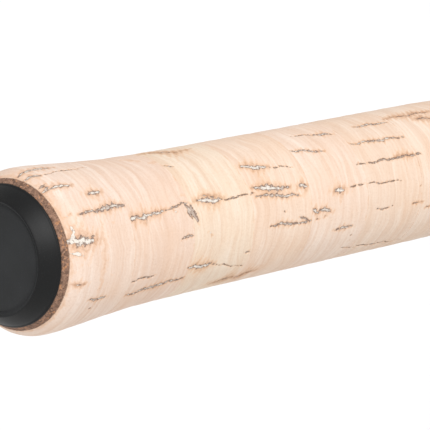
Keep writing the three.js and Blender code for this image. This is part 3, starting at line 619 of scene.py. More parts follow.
# The rear grip's marks, ring by ring: start and end as (millimetres along the ring, degrees round
# the grip from the top towards -Y), width and kind. The order of a ring's marks seeds their shapes.
# The smears are painted highlights.
REAR_MARKS = {
    1: (
        ((3.1, 57), (6.2, 56.5), 0.22, "streak"), ((6.2, 56.5), (12.6, 55), 0.42, "streak"),
        ((0.7, 5), (6.4, 8), 0.30, "paste"), ((0.7, 12), (2.4, 17), 0.34, "streak"),
        ((2.4, 17), (12.6, 13), 0.16, "line"), ((0.5, 26), (1.6, 27), 0.24, "line"),
        ((0.6, 31), (1.5, 31), 0.26, "paste"), ((1.4, 31), (5.0, 34), 0.26, "paste"),
        ((6.9, 43), (9.3, 42), 0.34, "paste"), ((1.2, 56), (2.0, 55), 0.2, "highlight_and_stain"),
        ((0.6, 74), (4.2, 76), 0.75, "paste"), ((0.9, 76), (1.4, 64), 0.45, "highlight_and_stain"),
        ((0.6, 82), (2.2, 86), 0.4, "highlight_and_stain"), ((3.9, 74), (4.8, 73), 0.2, "line"),
        ((6.7, 47), (7.2, 47), 0.45, "tinge"), ((8.7, 67), (9.1, 67), 0.35, "tinge"),
        ((7.9, 103), (8.2, 103), 0.25, "tinge"), ((0.9, 106), (2.6, 105), 0.5, "stain"),
        ((1.4, 106), (2.2, 105.5), 0.2, "highlight_and_stain"), ((4.5, 119), (8.0, 121), 0.24, "streak"),
        ((5.5, 128), (6.0, 128), 0.16, "line"), ((6.6, 66), (5.9, 112), 0.8, "tinge"),
    ),
    2: (
        ((0.2, 67), (1.2, 66.5), 0.5, "paste"), ((1.2, 66.5), (2.6, 67.5), 0.3, "streak"),
        ((2.6, 67), (3.6, 66.8), 0.55, "paste"), ((3.6, 66.5), (7.6, 65), 0.24, "paste"),
        ((7.6, 65), (12.5, 62.5), 0.2, "line"), ((12.0, 64), (13.2, 78), 0.5, "pit"),
        ((10.0, 90), (12.6, 88), 0.26, "line"), ((12.2, 116), (12.7, 116), 0.2, "line"),
        ((0.3, 127), (12.4, 125), 0.26, "streak"), ((0.4, 114), (5.6, 114), 0.2, "line"),
        ((8.0, 6), (10.0, 13), 0.7, "tinge"), ((9.4, 66.5), (9.8, 68), 0.25, "highlight_and_stain"),
        ((11.6, 56), (12.0, 56), 0.35, "tinge"), ((11.2, 20), (12.7, 19), 0.6, "tinge"),
    ),
    3: (
        ((0.0, 66), (0.9, 78), 0.5, "pit"), ((1.9, 63), (6.6, 65.5), 0.42, "paste"),
        ((3.2, 60), (6.0, 61.5), 0.5, "stain"), ((6.6, 66), (12.6, 66), 0.18, "line"),
        ((1.8, -3), (6.2, 8), 1.2, "knot"), ((6.2, 7), (9.4, 7), 0.3, "stain"),
        ((0.2, 26), (1.8, 28), 0.2, "line"), ((0.0, 116), (4.7, 117), 0.38, "paste"),
        ((4.7, 117), (12.6, 128), 0.12, "line"), ((9.0, 144), (12.7, 142), 1.0, "knot"),
        ((11.8, 114), (12.6, 113), 0.24, "line"), ((3.2, 89), (3.6, 92), 0.3, "highlight_and_stain"),
    ),
    4: (
        ((0.0, 66), (0.9, 66), 0.16, "line"), ((1.2, 42), (5.8, 46), 0.4, "paste"),
        ((5.8, 46), (11.8, 51), 0.12, "line"), ((1.0, 61), (8.4, 67), 0.4, "streak"),
        ((3.0, 63), (5.5, 65), 0.4, "paste"), ((1.2, 68), (10.3, 75), 0.26, "streak"),
        ((3.6, 94), (10.0, 97), 0.24, "streak"), ((10.0, 97), (12.6, 98), 0.2, "streak"),
        ((9.9, 92), (12.0, 97), 0.24, "line"), ((10.8, 68), (12.3, 69), 0.4, "paste"),
        ((0.0, 146), (3.4, 138), 1.0, "knot"), ((6.5, 85), (6.9, 85), 0.2, "line"),
    ),
    5: (
        ((0.0, 35), (6.8, 42), 0.2, "streak"), ((3.6, 17), (9.0, 22), 0.16, "line"),
        ((8.0, 21), (11.2, 25), 0.3, "streak"), ((5.6, 77), (7.3, 78), 0.45, "paste"),
        ((8.8, 76), (12.6, 77), 0.16, "line"), ((0.2, 88), (1.4, 92), 0.36, "paste"),
        ((1.6, 90), (4.2, 93), 0.34, "streak"), ((2.7, 97), (3.1, 97), 0.26, "stain"),
        ((1.1, 97), (1.5, 97), 0.24, "stain"), ((5.8, 110), (9.6, 111), 0.24, "streak"),
        ((10.0, 134), (12.6, 137), 0.14, "line"), ((10.2, 120), (10.6, 120), 0.2, "line"),
        ((10.7, 126), (11.0, 126), 0.16, "line"), ((11.7, 60), (12.7, 60), 0.2, "line"),
    ),
    6: (
        ((4.4, 21), (12.0, 23), 0.22, "streak"), ((0.3, 40), (12.4, 43), 0.2, "streak"),
        ((0.0, 60), (12.6, 61), 0.2, "line"), ((8.0, 59.5), (12.6, 60.5), 0.5, "stain"),
        ((0.0, 77), (8.0, 80), 0.14, "line"), ((0.0, 137), (12.6, 144), 0.16, "line"),
        ((10.7, 101), (12.6, 102), 0.3, "stain"), ((12.2, 88), (12.6, 88), 0.2, "line"),
        ((12.0, 18), (12.7, 18), 0.3, "stain"), ((2.0, 100), (6.0, 101), 0.14, "line"),
    ),
    7: (
        ((0.0, 18), (10.5, 19), 0.6, "knot"), ((5.6, 25), (8.6, 29), 0.8, "knot"),
        ((0.0, 61), (1.4, 62), 0.24, "line"), ((0.0, 102), (0.4, 102), 0.3, "stain"),
        ((0.0, 144), (0.6, 145), 0.16, "line"),
    ),
}
RING_TINTS = (
    "#dfcabb", "#dcc4b3", "#decbb7", "#dec7b4", "#dfcaba", "#dcc5b2", "#dec9b7", "#dbc4b1",
)
# The kinds a made-up mark may be, the commoner ones named twice.
COMMON_KINDS = ("streak", "streak", "line", "line", "paste", "stain")
COARSER = 1.6  # how much more coarsely the rings far from the butt are divided


def wander(t, seed, pitch):
    """A smooth random line about one unit high that turns about once every pitch."""
    rng = random.Random(seed)
    waves = (
        np.sin(t * rate * math.tau / pitch + rng.uniform(0, math.tau)) / rate
        for rate in (1, 1.7, 2.9)
    )
    return sum(waves) / 1.6


def mark_fields(along, angle, radius, marks, seed):
    """How deep each point of a ring lies in a channel, paste and stain: 0.5 at a mark's edge."""
    fields = {name: np.zeros(len(along)) for name in ("channel", "filler", "rust")}
    for i, ((a0, t0), (a1, t1), width, kind) in enumerate(marks):
        key = seed * 1000 + i
        share = np.clip((along - a0) / max(a1 - a0, 1e-3), 0, 1)
        middle = t0 + (t1 - t0) * share + np.degrees(wander(along, key, 5.0) * 0.16 / radius)
        across = np.radians((angle - middle + 180) % 360 - 180) * radius
        if math.radians(abs(t1 - t0)) * 10 > 1.5 * abs(a1 - a0):
            # A mark that runs round the grip: measure along the turn instead.
            share = np.clip((angle - t0) / (t1 - t0), 0, 1)
            middle = a0 + (a1 - a0) * share + wander(angle, key, 14.0) * 0.2
            across = along - middle
            past = np.abs(np.radians(angle - np.clip(angle, min(t0, t1), max(t0, t1))) * radius)
        else:
            past = np.abs(along - np.clip(along, a0, a1))
        form = MARK_KINDS[kind]
        taper = 0.4 + 0.6 * np.sin(np.pi * np.clip(share, 0.03, 0.97))
        for name, field in fields.items():
            if not form[name]:
                continue
            distance = np.hypot(across, past * (0.45 if name == "rust" else 1.0))
            beads = 1 + form["beads"] * wander(along + 0.6 * across, key + 77 * len(name), 1.1)
            reach = np.maximum(width * form[name] * taper * np.clip(beads, 0.12, 1.8), 0.03)
            inside = 0.5 + 0.5 * np.clip(1 - distance / reach, -1, 1)
            np.maximum(field, inside * form.get("peak", 1.0), out=field)
    return fields


def random_marks(rng, count, angles):
    """Made-up marks for the part of a ring that has none listed."""
    marks = []
    for _ in range(count):
        start = rng.uniform(0, 9)
        end = min(RING_THICKNESS, start + rng.uniform(1, 9))
        turn = rng.uniform(*angles)
        end_turn = turn + rng.uniform(-4, 5)
        width, kind = rng.uniform(0.12, 0.34), rng.choice(COMMON_KINDS)
        marks.append(((start, turn), (end, end_turn), width, kind))
    return marks


def cork_ring(name, start, end, radius_at, marks, number, tint, nodes, cell, bore, origin):
    """One cork ring, finely enough divided for its channels to be real hollows."""
    stations = np.linspace(start, end, max(3, round((end - start) / cell) + 1))
    profile = [(start, bore), *((x, float(radius_at(x))) for x in stations), (end, bore)]
    bm = bmesh.new()
    spin_profile(bm, profile, "x", round(math.tau * CORK_RADIUS / cell), closed=True)
    clean(bm)
    mesh = bpy.data.meshes.new(name)
    bm.to_mesh(mesh)
    bm.free()
    count = len(mesh.vertices)
    place = np.empty(count * 3)
    mesh.vertices.foreach_get("co", place)
    place = place.reshape(-1, 3)
    radius = np.hypot(place[:, 1], place[:, 2])
    angle = np.degrees(np.arctan2(-place[:, 1], place[:, 2]))
    fields = mark_fields(place[:, 0] - origin, angle, np.maximum(radius, 5), marks, number)
    settings = bpy.context.scene.rod_sizes
    made_up = 1 - 0.8 * np.clip((fields["filler"] - 0.45) * 4, 0, 1)
    depth = settings.channel_depth / MM * np.clip((fields["channel"] - 0.5) * 2, 0, 1) * made_up
    uneven = 0.02 * (wander(angle, number, 50.0) + wander(place[:, 0], number + 9, 6.0))
    # Only the skin is pressed in, and the bore is left round.
    scale = np.where(radius > bore + 1, 1 - (depth + uneven + 0.02) / np.maximum(radius, 1), 1)
    place[:, 1:] *= scale[:, None]
    mesh.vertices.foreach_set("co", (place * MM).ravel())
    for field, values in {**fields, "ring": np.full(count, float(number))}.items():
        mesh.attributes.new(field, "FLOAT", "POINT").data.foreach_set("value", values)
    colour = np.tile(srgb(tint), count)
    mesh.attributes.new("tint", "FLOAT_COLOR", "POINT").data.foreach_set("color", colour)
    return placed(mesh, name, "cork", "rod", nodes, 40)


def make_rear_grip():
    """The rear grip's rings, glued end to end and sanded as one."""
    cell = bpy.context.scene.rod_sizes.cork_cell / MM
    for i in range(REAR_RINGS):
        origin = FIRST_JOINT_X + i * RING_THICKNESS
        start = RIM_X + COMPOSITE_THICKNESS if i == 0 else origin
        rng = random.Random(40 + i)
        # The front rings are marked at random all round, the others only round the back.
        hidden = random_marks(rng, 9, (-180, 180)) if i > 5 else random_marks(rng, 5, (160, 330))
        # The first ring also gets the painted shade beside the composite ring.
        marks = [*REAR_MARKS.get(i + 1, ()), *hidden, GLUE_LINE] + [COMPOSITE_JOINT_SHADE] * (i == 0)
        cork_ring(
            f"cork_ring_{i + 1}", start, origin + RING_THICKNESS, grip_radius, marks, i + 1,
            RING_TINTS[i], (f"rear_cork_ring_{i + 1}",), cell if i < 7 else cell * COARSER,
            REAR_BORE if i else SPIGOT_BORE, origin,
        )


def make_fore_grip():
    """The fore grip's four rings and the turned check that covers the front of its bore."""
    cell = bpy.context.scene.rod_sizes.cork_cell / MM * COARSER
    start = node_box("fore_grip")[0].x
    for i in range(FORE_RINGS):
        origin = start + i * RING_THICKNESS
        marks = [*random_marks(random.Random(80 + i), 9, (-180, 180)), GLUE_LINE]
        cork_ring(
            f"fore_cork_ring_{i + 1}", origin, origin + RING_THICKNESS, fore_radius, marks,
            REAR_RINGS + 1 + i, RING_TINTS[i], ("fore_grip",), cell, FORE_BORE, origin,
        )
    x = node_box("winding_check")[0].x
    turned("turned_winding_check", [
        (x, 3.2), (x, 6.0), (x + 0.3, 6.2), (x + 0.9, 6.2), (x + 1.0, 6.0), (x + 1.2, 6.0),
        (x + 1.3, 6.05), (x + 2.1, 5.0), (x + 2.9, 4.2), (x + 3.25, 3.85), (x + 3.25, 3.3),
    ], "anodised", "rod", ("winding_check",), steps=72, closed=True)


def make_butt_end():
    """The rubber cap and the composite cork ring that it beds on."""
    turned("butt_cap_skin", [
        (0.06, 0), (0.06, 5.4), (0.09, 6.2), (0.18, 6.7), (0.32, 7.02), (0.44, 7.15), (0.46, 7.24),
        (0.4, 7.34), (0.12, 7.66), (0.12, 7.74), (0.2, 7.84), (0.36, 7.98), (0.75, 8.32),
        (1.25, 8.72), (1.75, 9.08), (2.15, 9.31), (2.28, 9.38), (2.34, 9.48), (2.46, 9.57),
        (2.56, 9.56), (2.62, 9.46), (2.64, 8.9), (2.64, 6.5), (12, 6.5), (12, 0),
    ], "cap_rubber", "rod", ("butt_cap",), steps=192, smooth_angle=50)

    stations = np.linspace(RIM_X + 0.1, RIM_X + COMPOSITE_THICKNESS - 0.12, 9)
    ground = [(x, float(grip_radius(x))) for x in stations]
    lip = RIM_X + COMPOSITE_THICKNESS
    bm = bmesh.new()
    spin_profile(bm, [
        (RIM_X + 0.1, 6.7), (RIM_X + 0.1, 9.5), *ground, (lip, ground[-1][1] - 0.12), (lip, 6.7),
    ], "x", 420, closed=True)
    clean(bm)
    # Grains stand a little proud of the turned face and lie a little below it.
    rng = random.Random(5)
    for vert in bm.verts:
        radius = math.hypot(vert.co.y, vert.co.z)
        if radius > 9:
            push = 1 + rng.uniform(-0.05, 0.03) / radius
            vert.co.y *= push
            vert.co.z *= push
    finished(bm, "composite_ring", "composite", "rod", ("butt_washer",), 180)


# ---- reel seat ----------------------------------------------------------------------------------


def make_reel_seat():
    """The seat's barrel with its flat saddle and rolled thread, its trim ring, hoods and nut."""
    low, high = node_box("reel_seat")
    thread_start = high.x - SEAT_THREAD_LENGTH
    saddle_start = low.x + SADDLE_START
    step = [low.x + along for along in SEAT_STEP]
    stations = [*np.linspace(low.x + 1, step[0], 12), *np.linspace(step[1], thread_start - 0.1, 30)]
    outside = [(x, SEAT_REAR if x <= step[0] else SEAT_WAIST) for x in stations]
    # A pair of close stations keeps the saddle's end square.
    outside = sorted(outside + [(saddle_start + gap, SEAT_REAR) for gap in (-0.05, 0.05)])
    bm = bmesh.new()
    spin_profile(bm, [
        (low.x, SEAT_BORE), (low.x, SEAT_REAR - 0.2), (low.x + 0.2, SEAT_REAR), *outside,
        (thread_start, SEAT_WAIST - 0.1), (thread_start + 0.4, SEAT_ROOT),
        (high.x - 0.3, SEAT_ROOT), (high.x, SEAT_ROOT - 0.3), (high.x, SEAT_BORE),
    ], "x", 144, closed=True)
    clean(bm)
    for vert in bm.verts:
        if saddle_start < vert.co.x < thread_start and vert.co.yz.length > SEAT_BORE + 1:
            vert.co.z = max(vert.co.z, SADDLE_FLAT)
    # The thread is one ridge wound along the barrel and capped at both ends.
    pitch = bpy.context.scene.rod_sizes.thread_pitch / MM
    turns = int((high.x - thread_start - 3) / pitch)
    start, foot, crest = thread_start + 1.5, SEAT_ROOT - 0.2, SEAT_ROOT + THREAD_RISE
    ridge = [
        (start, foot), (start + 0.3 * pitch, crest), (start + 0.45 * pitch, crest),
        (start + 0.75 * pitch, foot),
    ]
    corners = [bm.verts.new((x, 0, r)) for x, r in ridge]
    sides = [bm.edges.new((corners[i], corners[(i + 1) % 4])) for i in range(4)]
    wound = bmesh.ops.spin(
        bm, geom=corners + sides, cent=(0, 0, 0), axis=(1, 0, 0), dvec=(pitch / 48, 0, 0),
        angle=math.tau * turns, steps=48 * turns,
    )
    bmesh.ops.contextual_create(bm, geom=sides)
    last = [e for e in wound["geom_last"] if isinstance(e, bmesh.types.BMEdge)]
    bmesh.ops.contextual_create(bm, geom=last)
    bmesh.ops.recalc_face_normals(bm, faces=bm.faces)
    finished(bm, "seat_barrel", "seat", "rod", ("reel_seat",))

    x = node_box("seat_trim_ring")[0].x
    turned("grooved_trim_ring", [
        (x, 4.2), (x, 9.3), (x + 0.25, 9.6), (x + 0.6, 9.78), (x + 1.1, 9.8), (x + 1.2, 9.62),
        (x + 1.4, 9.62), (x + 1.5, 9.8), (x + 1.9, 9.8), (x + 2.0, 9.62), (x + 2.2, 9.62),
        (x + 2.3, 9.78), (x + 2.8, 9.55), (x + 3, 9.3), (x + 3, 4.2),
    ], "anodised", "rod", ("seat_trim_ring",), steps=128, closed=True)
    softened("rear_hood", "fixed_hood", "anodised_cast", "rod", ALLOY_DETAIL, 6)
    softened(
        "front_hood", "sliding_hood", "anodised_cast", "sliding_hood", ALLOY_DETAIL, 6
    )
    low, high = node_box("lock_nut")
    turned(
        "knurled_lock_nut", [
            (low.x, NUT_BORE), (low.x, 10.0), (low.x + 0.3, 10.2), (low.x + 0.9, 10.3),
            (low.x + 1.0, 10.9), (low.x + 1.3, 10.9), (high.x - 1.3, 10.9), (high.x - 1.0, 10.9),
            (high.x - 0.9, 10.3), (high.x - 0.3, 10.2), (high.x, 10.0), (high.x, NUT_BORE),
        ], "anodised", "lock_nut", ("lock_nut",), steps=288, closed=True,
        flutes=((36, 0.45, low.x + 0.95, high.x - 0.95, 10.5),), smooth_angle=60,
    )


# ---- blank and guides ---------------------------------------------------------------------------


def whipping(name, start, end, band=False, foot_drop=0.0):
    """A lacquered thread wrap round the blank. Over a guide's foot it swells by foot_drop below."""
    thick = bpy.context.scene.rod_sizes.wrap_thickness / MM
    stations = np.linspace(0, 1, 25)
    profile = [(start, 0)]
    for share in stations:
        x = start + (end - start) * share
        ease = min(1.0, math.sin(math.pi * min(max(share, 0.001), 0.999)) * 4)
        profile.append((x, blank_radius(x) + 0.04 + thick * ease))
    profile.append((end, 0))
    bm = bmesh.new()
    spin_profile(bm, profile, "x", 48)
    clean(bm)
    for vert in bm.verts:
        radius = vert.co.yz.length
        if foot_drop and radius > 0.1:
            share = (vert.co.x - start) / (end - start)
            rise = min(1.0, max(0.0, share) * 5) * min(1.0, max(0.0, 1 - share) * 2.2)
            under = max(0.0, -vert.co.z / radius)
            vert.co.yz *= 1 + foot_drop * rise * under ** 3 / radius
    finished(bm, name, "whipping_band" if band else "whipping", "rod", smooth_angle=60)


def make_blank():
    """The carbon blank, and the whipping in front of the grip with its accent band."""
    (x0, r0), (x1, r1) = BLANK_ENDS
    taper = [(x, blank_radius(x)) for x in np.linspace(x0 + 20, x1 - 0.6, 24)]
    turned("rolled_blank", [
        (x0, 0), (x0, r0), *taper, (x1, r1 - 0.3), (x1, 0),
    ], "carbon", "rod", ("blank",), steps=48)
    check_end = node_box("winding_check")[1].x
    whipping("butt_whipping", check_end - 0.2, check_end + 13)
    whipping("butt_whipping_band", check_end + 13.1, check_end + 15.6, band=True)


def line_ring(name, bore, insert, width, x, drop, nodes):
    """A ceramic ring, rolled over towards the line on its inside."""
    lip = [
        (width * 0.5 * math.sin(a), bore + 0.42 * (1 - math.cos(a)))
        for a in np.linspace(-1.4, 1.4, 13)
    ]
    rim = [(width * 0.33, insert), (-width * 0.33, insert)]
    turned(
        name, [*lip, *rim], "ceramic", "rod", nodes, centre=(x, 0, -drop),
        closed=True, smooth_angle=60,
    )


def make_guides():
    """The single-foot guides: a ring on two bent wire legs, whose foot is bound under the blank."""
    for i, (bore, drop) in enumerate(GUIDES, 1):
        x = node_box(f"guide_ring_{i}")[0].x + GUIDE_WIDTH / 2
        insert = bore + GUIDE_INSERT_WALL
        rim = insert + GUIDE_RIM_WALL
        under = -blank_radius(x) - 0.55
        bm = bmesh.new()
        hoop = rounded_section(-0.7, 0.7, insert + 0.02, rim, 0.35)
        spin_profile(bm, hoop, "x", 64, (x, 0, -drop), closed=True)
        for side in (-1, 1):
            add_wire(bm, [
                (x + 9.5, side * 0.35, under), (x + 4, side * 0.4, under),
                (x + 1.2, side * 0.55, under - 0.15), (x + 0.1, side * 1.3, under - 1.0),
                (x, side * rim * 0.7, -drop + rim * 0.74),
                (x, side * (rim - 0.35), -drop + rim * 0.15),
            ], 0.48, 12, [0.75, 1, 1, 1, 1, 0.9])
        clean(bm)
        finished(
            bm, f"guide_{i}_wire_frame", "bright", "rod", (f"guide_frame_{i}",), 60
        )
        ceramic = f"guide_{i}_ceramic"
        line_ring(ceramic, bore, insert, GUIDE_WIDTH, x, drop, (f"guide_ring_{i}",))
        whipping(f"guide_{i}_whipping", x + 1.8, x + 14, foot_drop=0.95)
        whipping(f"guide_{i}_whipping_band", x + 14.1, x + 15.6, band=True)

    low, high = node_box("tip_frame")
    ring_low, ring_high = node_box("tip_ring")
    x, drop = (ring_low.x + ring_high.x) / 2, -(ring_low.z + ring_high.z) / 2
    rim = TIP_INSERT + TIP_RIM_WALL
    bm = bmesh.new()
    spin_profile(bm, [
        (low.x, blank_radius(low.x) + 0.1), (low.x, 1.2), (low.x + 0.2, 1.35), (x - 1.2, 1.22),
        (x - 0.7, 1.0), (x - 0.5, 0.6), (x - 0.5, 0), (x - 1.0, 0),
        (x - 1.5, blank_radius(x - 2) + 0.1),
    ], "x", 48, closed=True)
    hoop = rounded_section(-0.6, 0.6, TIP_INSERT + 0.02, rim, 0.3)
    spin_profile(bm, hoop, "x", 56, (x, 0, -drop), closed=True)
    for side in (-1, 1):
        add_wire(bm, [
            (x - 3, side * 0.3, -1.0), (x - 1.2, side * 0.4, -1.1), (x - 0.2, side * 0.8, -1.4),
            (x, side * rim * 0.8, -drop + rim * 0.6), (x, side * (rim - 0.3), -drop + 0.2),
        ], 0.4, 12)
    clean(bm)
    finished(bm, "tip_wire_frame", "bright", "rod", ("tip_frame",), 60)
    line_ring("tip_ceramic", TIP_BORE, TIP_INSERT, TIP_WIDTH, x, drop, ("tip_ring",))
    whipping("tip_whipping", low.x - 7, low.x + 0.1)


# ---- reel ---------------------------------------------------------------------------------------


def socket_screw(name, axis, centre, base, top, radius, body, node):
    """A low domed screw with a hexagon socket. The base and top are places along its axis."""
    rise = top - base
    profile = [
        (base, 0), (base, radius * 0.97), (base + rise * 0.12, radius), (base + rise * 0.6, radius),
        (base + rise * 0.85, radius * 0.88), (top, radius * 0.66), (top, radius * 0.42),
        (base + rise * 0.4, radius * 0.38), (base + rise * 0.4, 0),
    ]
    bm = bmesh.new()
    spin_profile(bm, profile, axis, 48, centre)
    clean(bm)
    first = OUTWARDS[axis]
    second = AXES[axis].cross(first)
    for vert in bm.verts:
        arm = vert.co - Vector(centre)
        radial = arm - AXES[axis] * arm.dot(AXES[axis])
        if 0.1 < radial.length < radius * 0.5:
            # The round socket is pushed out to a hexagon.
            turn = math.atan2(radial.dot(second), radial.dot(first)) % (math.pi / 3) - math.pi / 6
            vert.co += radial * (0.87 / math.cos(turn) * 1.08 - 1)
    finished(bm, name, "steel", body, (node,), smooth_angle=30)


def make_housing():
    """The reel's stem, foot and gear housing, its side cover, rear guard and cover screws."""
    voxel = bpy.context.scene.rod_sizes.casting_detail / MM
    softened("body_casting", "reel_body", "paint", "rod", voxel, 4)
    softened("side_cover_casting", "side_cover", "paint", "rod", voxel, 4)
    softened("rear_guard_plate", "rear_guard", "anodised_cast", "rod", voxel * 0.8, 4)
    for i in (1, 2, 3):
        low, high = node_box(f"cover_screw_{i}")
        centre = ((low.x + high.x) / 2, 0, (low.z + high.z) / 2)
        socket_screw(
            f"cover_socket_screw_{i}", "y", centre, high.y, low.y, (high.x - low.x) / 2, "rod",
            f"cover_screw_{i}",
        )


def make_inner_works():
    """The parts inside the housing, the shafts, and the nut and washers under the spool."""
    carry_over("steel", "crank_shaft", "main_shaft", "rotor_nut")
    carry_over("brass", "drive_gear", "pinion", "oscillation_gear", "oscillation_slider")
    carry_over(
        "bright", "pinion_bearing", "one_way_clutch", "crank_bearing_cover", "crank_bearing_body"
    )
    carry_over("seat", "drag_washer_stack")


def open_hole(piece, centre, radius):
    """Opens a softened plate's hole along Z back out to a radius, so that it turns freely."""
    for vert in piece.data.vertices:
        arm = vert.co.xy / MM - Vector(centre)
        if arm.length < radius:
            vert.co.xy = (Vector(centre) + arm.normalized() * radius) * MM


def make_rotor():
    """The rotor with its two arms, the screws that hold the bail, and the bail itself."""
    sizes = bpy.context.scene.rod_sizes
    softened("rotor_casting", "rotor", "paint", "rotor", sizes.casting_detail / MM, 4)
    pivot = (BAIL.x, 0, REEL.z)
    for name, side in (("upper", 1), ("lower", -1)):
        socket_screw(
            f"bail_socket_screw_{name}", "z", pivot, side * BAIL_SCREW_BASE, side * BAIL_SCREW_TOP,
            BAIL_SCREW_RADIUS, "rotor", f"bail_screw_{name}",
        )

    lever = softened(
        "bail_lever_plate", "bail_lever", "bright", "bail", BAIL_DETAIL, 5
    )
    cam = softened("bail_cam_plate", "bail_cam", "paint", "bail", BAIL_DETAIL, 5)
    for plate in (lever, cam):
        open_hole(plate, BAIL.xy, BAIL_PLATE_HOLE)
    # The wire's route as (across the reel, above its axis), thickest at the line roller's post.
    route = [
        (-13.3, 22.6), (-16.5, 22.6), (-22, 20), (-28, 12.5), (-31.5, 0), (-30.2, -12),
        (-24.5, -22.5), (-18.5, -27.4), (-14.9, -28.6),
    ]
    swell = [1.9, 1.5, 1.1, *[1] * 5, 1.15]
    bm = bmesh.new()
    points = [(BAIL.x, y, REEL.z + z) for y, z in route]
    add_wire(bm, points, sizes.bail_wire / MM / 2, 16, swell)
    clean(bm)
    finished(bm, "bail_wire_bent", "bright", "bail", ("bail_wire",), 60)
    turned("grooved_line_roller", [
        (23.5, 1.75), (23.5, 3.3), (23.65, 3.5), (23.95, 3.5), (24.5, 3.0), (24.9, 2.75),
        (25.3, 2.65), (25.7, 2.75), (26.1, 3.0), (26.6, 3.5), (26.85, 3.5), (27.0, 3.3),
        (27.0, 1.75),
    ], "bright", "line_roller", ("line_roller",), axis="z", steps=56,
        centre=(ROLLER.x, ROLLER.y, REEL.z), closed=True)


def make_spool():
    """The spool with its skirt, arbor and rolled lip, and the drag knob on its front."""
    # Shallow grooves round the arbor, a millimetre apart, keep the line from slipping.
    grooves = []
    for k in range(9):
        x = 53.0 + k
        grooves += [(x, 13.55), (x + 0.12, 13.42), (x + 0.28, 13.42), (x + 0.4, 13.55)]
    turned("turned_spool", [
        (48, 2.14), (48, 18.4), (47.4, 19), (38.2, 19), (38, 19.2), (38, 20.3), (38.2, 20.5),
        (39.6, 20.5), (39.75, 20.35), (40.1, 20.35), (40.25, 20.5), (45.2, 20.5), (45.35, 20.35),
        (45.7, 20.35), (45.85, 20.5), (48.3, 20.55), (48.9, 20.8), (50.0, 20.8), (50.4, 20.7),
        (50.55, 20.4), (50.7, 18), (50.9, 14.2), (51.2, 13.7), (51.8, 13.55), *grooves,
        (63.0, 13.55), (63.5, 13.9), (63.8, 15), (64.0, 20.3), (64.2, 20.75), (64.6, 20.97),
        (65.4, 21.0), (66.1, 20.85), (66.8, 20.4), (67.0, 19.9), (66.9, 19.2), (66.3, 17.8),
        (66.2, 13.0), (66.5, 12.4), (67, 11.9), (67, 11.35), (66.7, 11.2), (60, 11.2), (60, 2.14),
    ], "spool", "spool", ("spool",), steps=128, centre=REEL, closed=True,
        smooth_angle=40)
    turned("fluted_drag_knob", [
        (63, 0), (63, 10.4), (63.2, 10.6), (66.9, 10.6), (67.2, 10.45), (67.6, 9.9), (67.9, 9.7),
        (68.6, 9.75), (69.6, 9.6), (71.5, 9.3), (73.5, 8.95), (75.0, 8.6), (76.2, 8.15),
        (77.0, 7.5), (77.4, 6.6), (77.45, 5.6), (77.2, 5.4), (77.1, 5.1), (77.3, 4.8), (77.5, 3.0),
        (77.55, 0),
    ], "rubber", "drag_knob", ("drag_knob",), steps=240, centre=REEL,
        flutes=((12, 0.9, 68.2, 76.5, 7.9),), smooth_angle=50)


def make_handle():
    """The handle's arm, knob and screw cap, and the lever that lets the reel run backwards."""
    softened(
        "handle_arm_casting", "handle_arm", "anodised_cast", "crank", ALLOY_DETAIL, 6
    )
    turned("ribbed_handle_knob", [
        (41, 2.05), (41, 4.9), (41.3, 5.2), (42.2, 5.5), (43.4, 5.9), (44.6, 6.3), (45.0, 6.3),
        (45.3, 6.1), (45.6, 6.1), (45.9, 6.5), (48.5, 6.75), (52, 7.0), (55.4, 6.85), (58, 6.6),
        (58.3, 6.3), (58.6, 6.3), (58.9, 6.45), (60.2, 5.8), (61.2, 4.9), (61.8, 3.8), (62.0, 2.6),
        (62.0, 0), (60.4, 0), (60.4, 2.05),
    ], "rubber", "handle_knob", ("handle_knob",), axis="y", steps=192, centre=KNOB,
        closed=True, flutes=((16, 0.4, 45.9, 58.2, 6.2),), smooth_angle=50)
    turned("knurled_screw_cap", [
        (-12.9, 3.12), (-12.9, 5.35), (-13.05, 5.5), (-16.5, 5.5), (-16.8, 5.4), (-17.1, 5.0),
        (-17.5, 4.4), (-17.6, 4.1), (-17.6, 2.6), (-17.4, 2.4), (-17.4, 0), (-16.2, 0),
        (-16.2, 3.12),
    ], "anodised_cast", "crank", ("screw_cap",), axis="y", steps=160,
        centre=(CRANK.x, 0, CRANK.z), closed=True, flutes=((20, 0.35, -16.4, -13.4, 5.3),),
        smooth_angle=50)
    softened(
        "anti_reverse_paddle", "anti_reverse_lever", "rubber", "anti_reverse_lever",
        LEVER_DETAIL, 6,
    )


# ---- stage --------------------------------------------------------------------------------------


# The camera's swing round from behind the butt and its rise above the rod, in degrees, and its
# place: right of, above and back from the middle of the cap's rim, in millimetres.
CAMERA_SWING, CAMERA_RISE = 40.37, 10.24
CAMERA_RIGHT, CAMERA_UP, CAMERA_BACK = 27.17, 5.32, 473.47
CAMERA_LENS, CAMERA_SENSOR = 302.4, 36.0
FLOOR_HALF = 9.0  # metres
FLOOR_GAP = 0.004  # metres between the floor and the lowest point of the reel
WORLD_STRENGTH = 0.75
KEY_RISE, KEY_SIDE, KEY_STRENGTH, KEY_SPREAD = 0.62, 0.35, 2.2, 40


def add_soft_light(name, towards, strength, spread):
    """A wide, far softbox in that direction, spread degrees across."""
    light = bpy.data.lights.new(name, "SUN")
    light.energy = strength
    light.angle = math.radians(spread)
    lamp = bpy.data.objects.new(name, light)
    lamp.matrix_world = Vector(towards).normalized().to_track_quat("Z", "Y").to_matrix().to_4x4()
    bpy.context.scene.collection.objects.link(lamp)


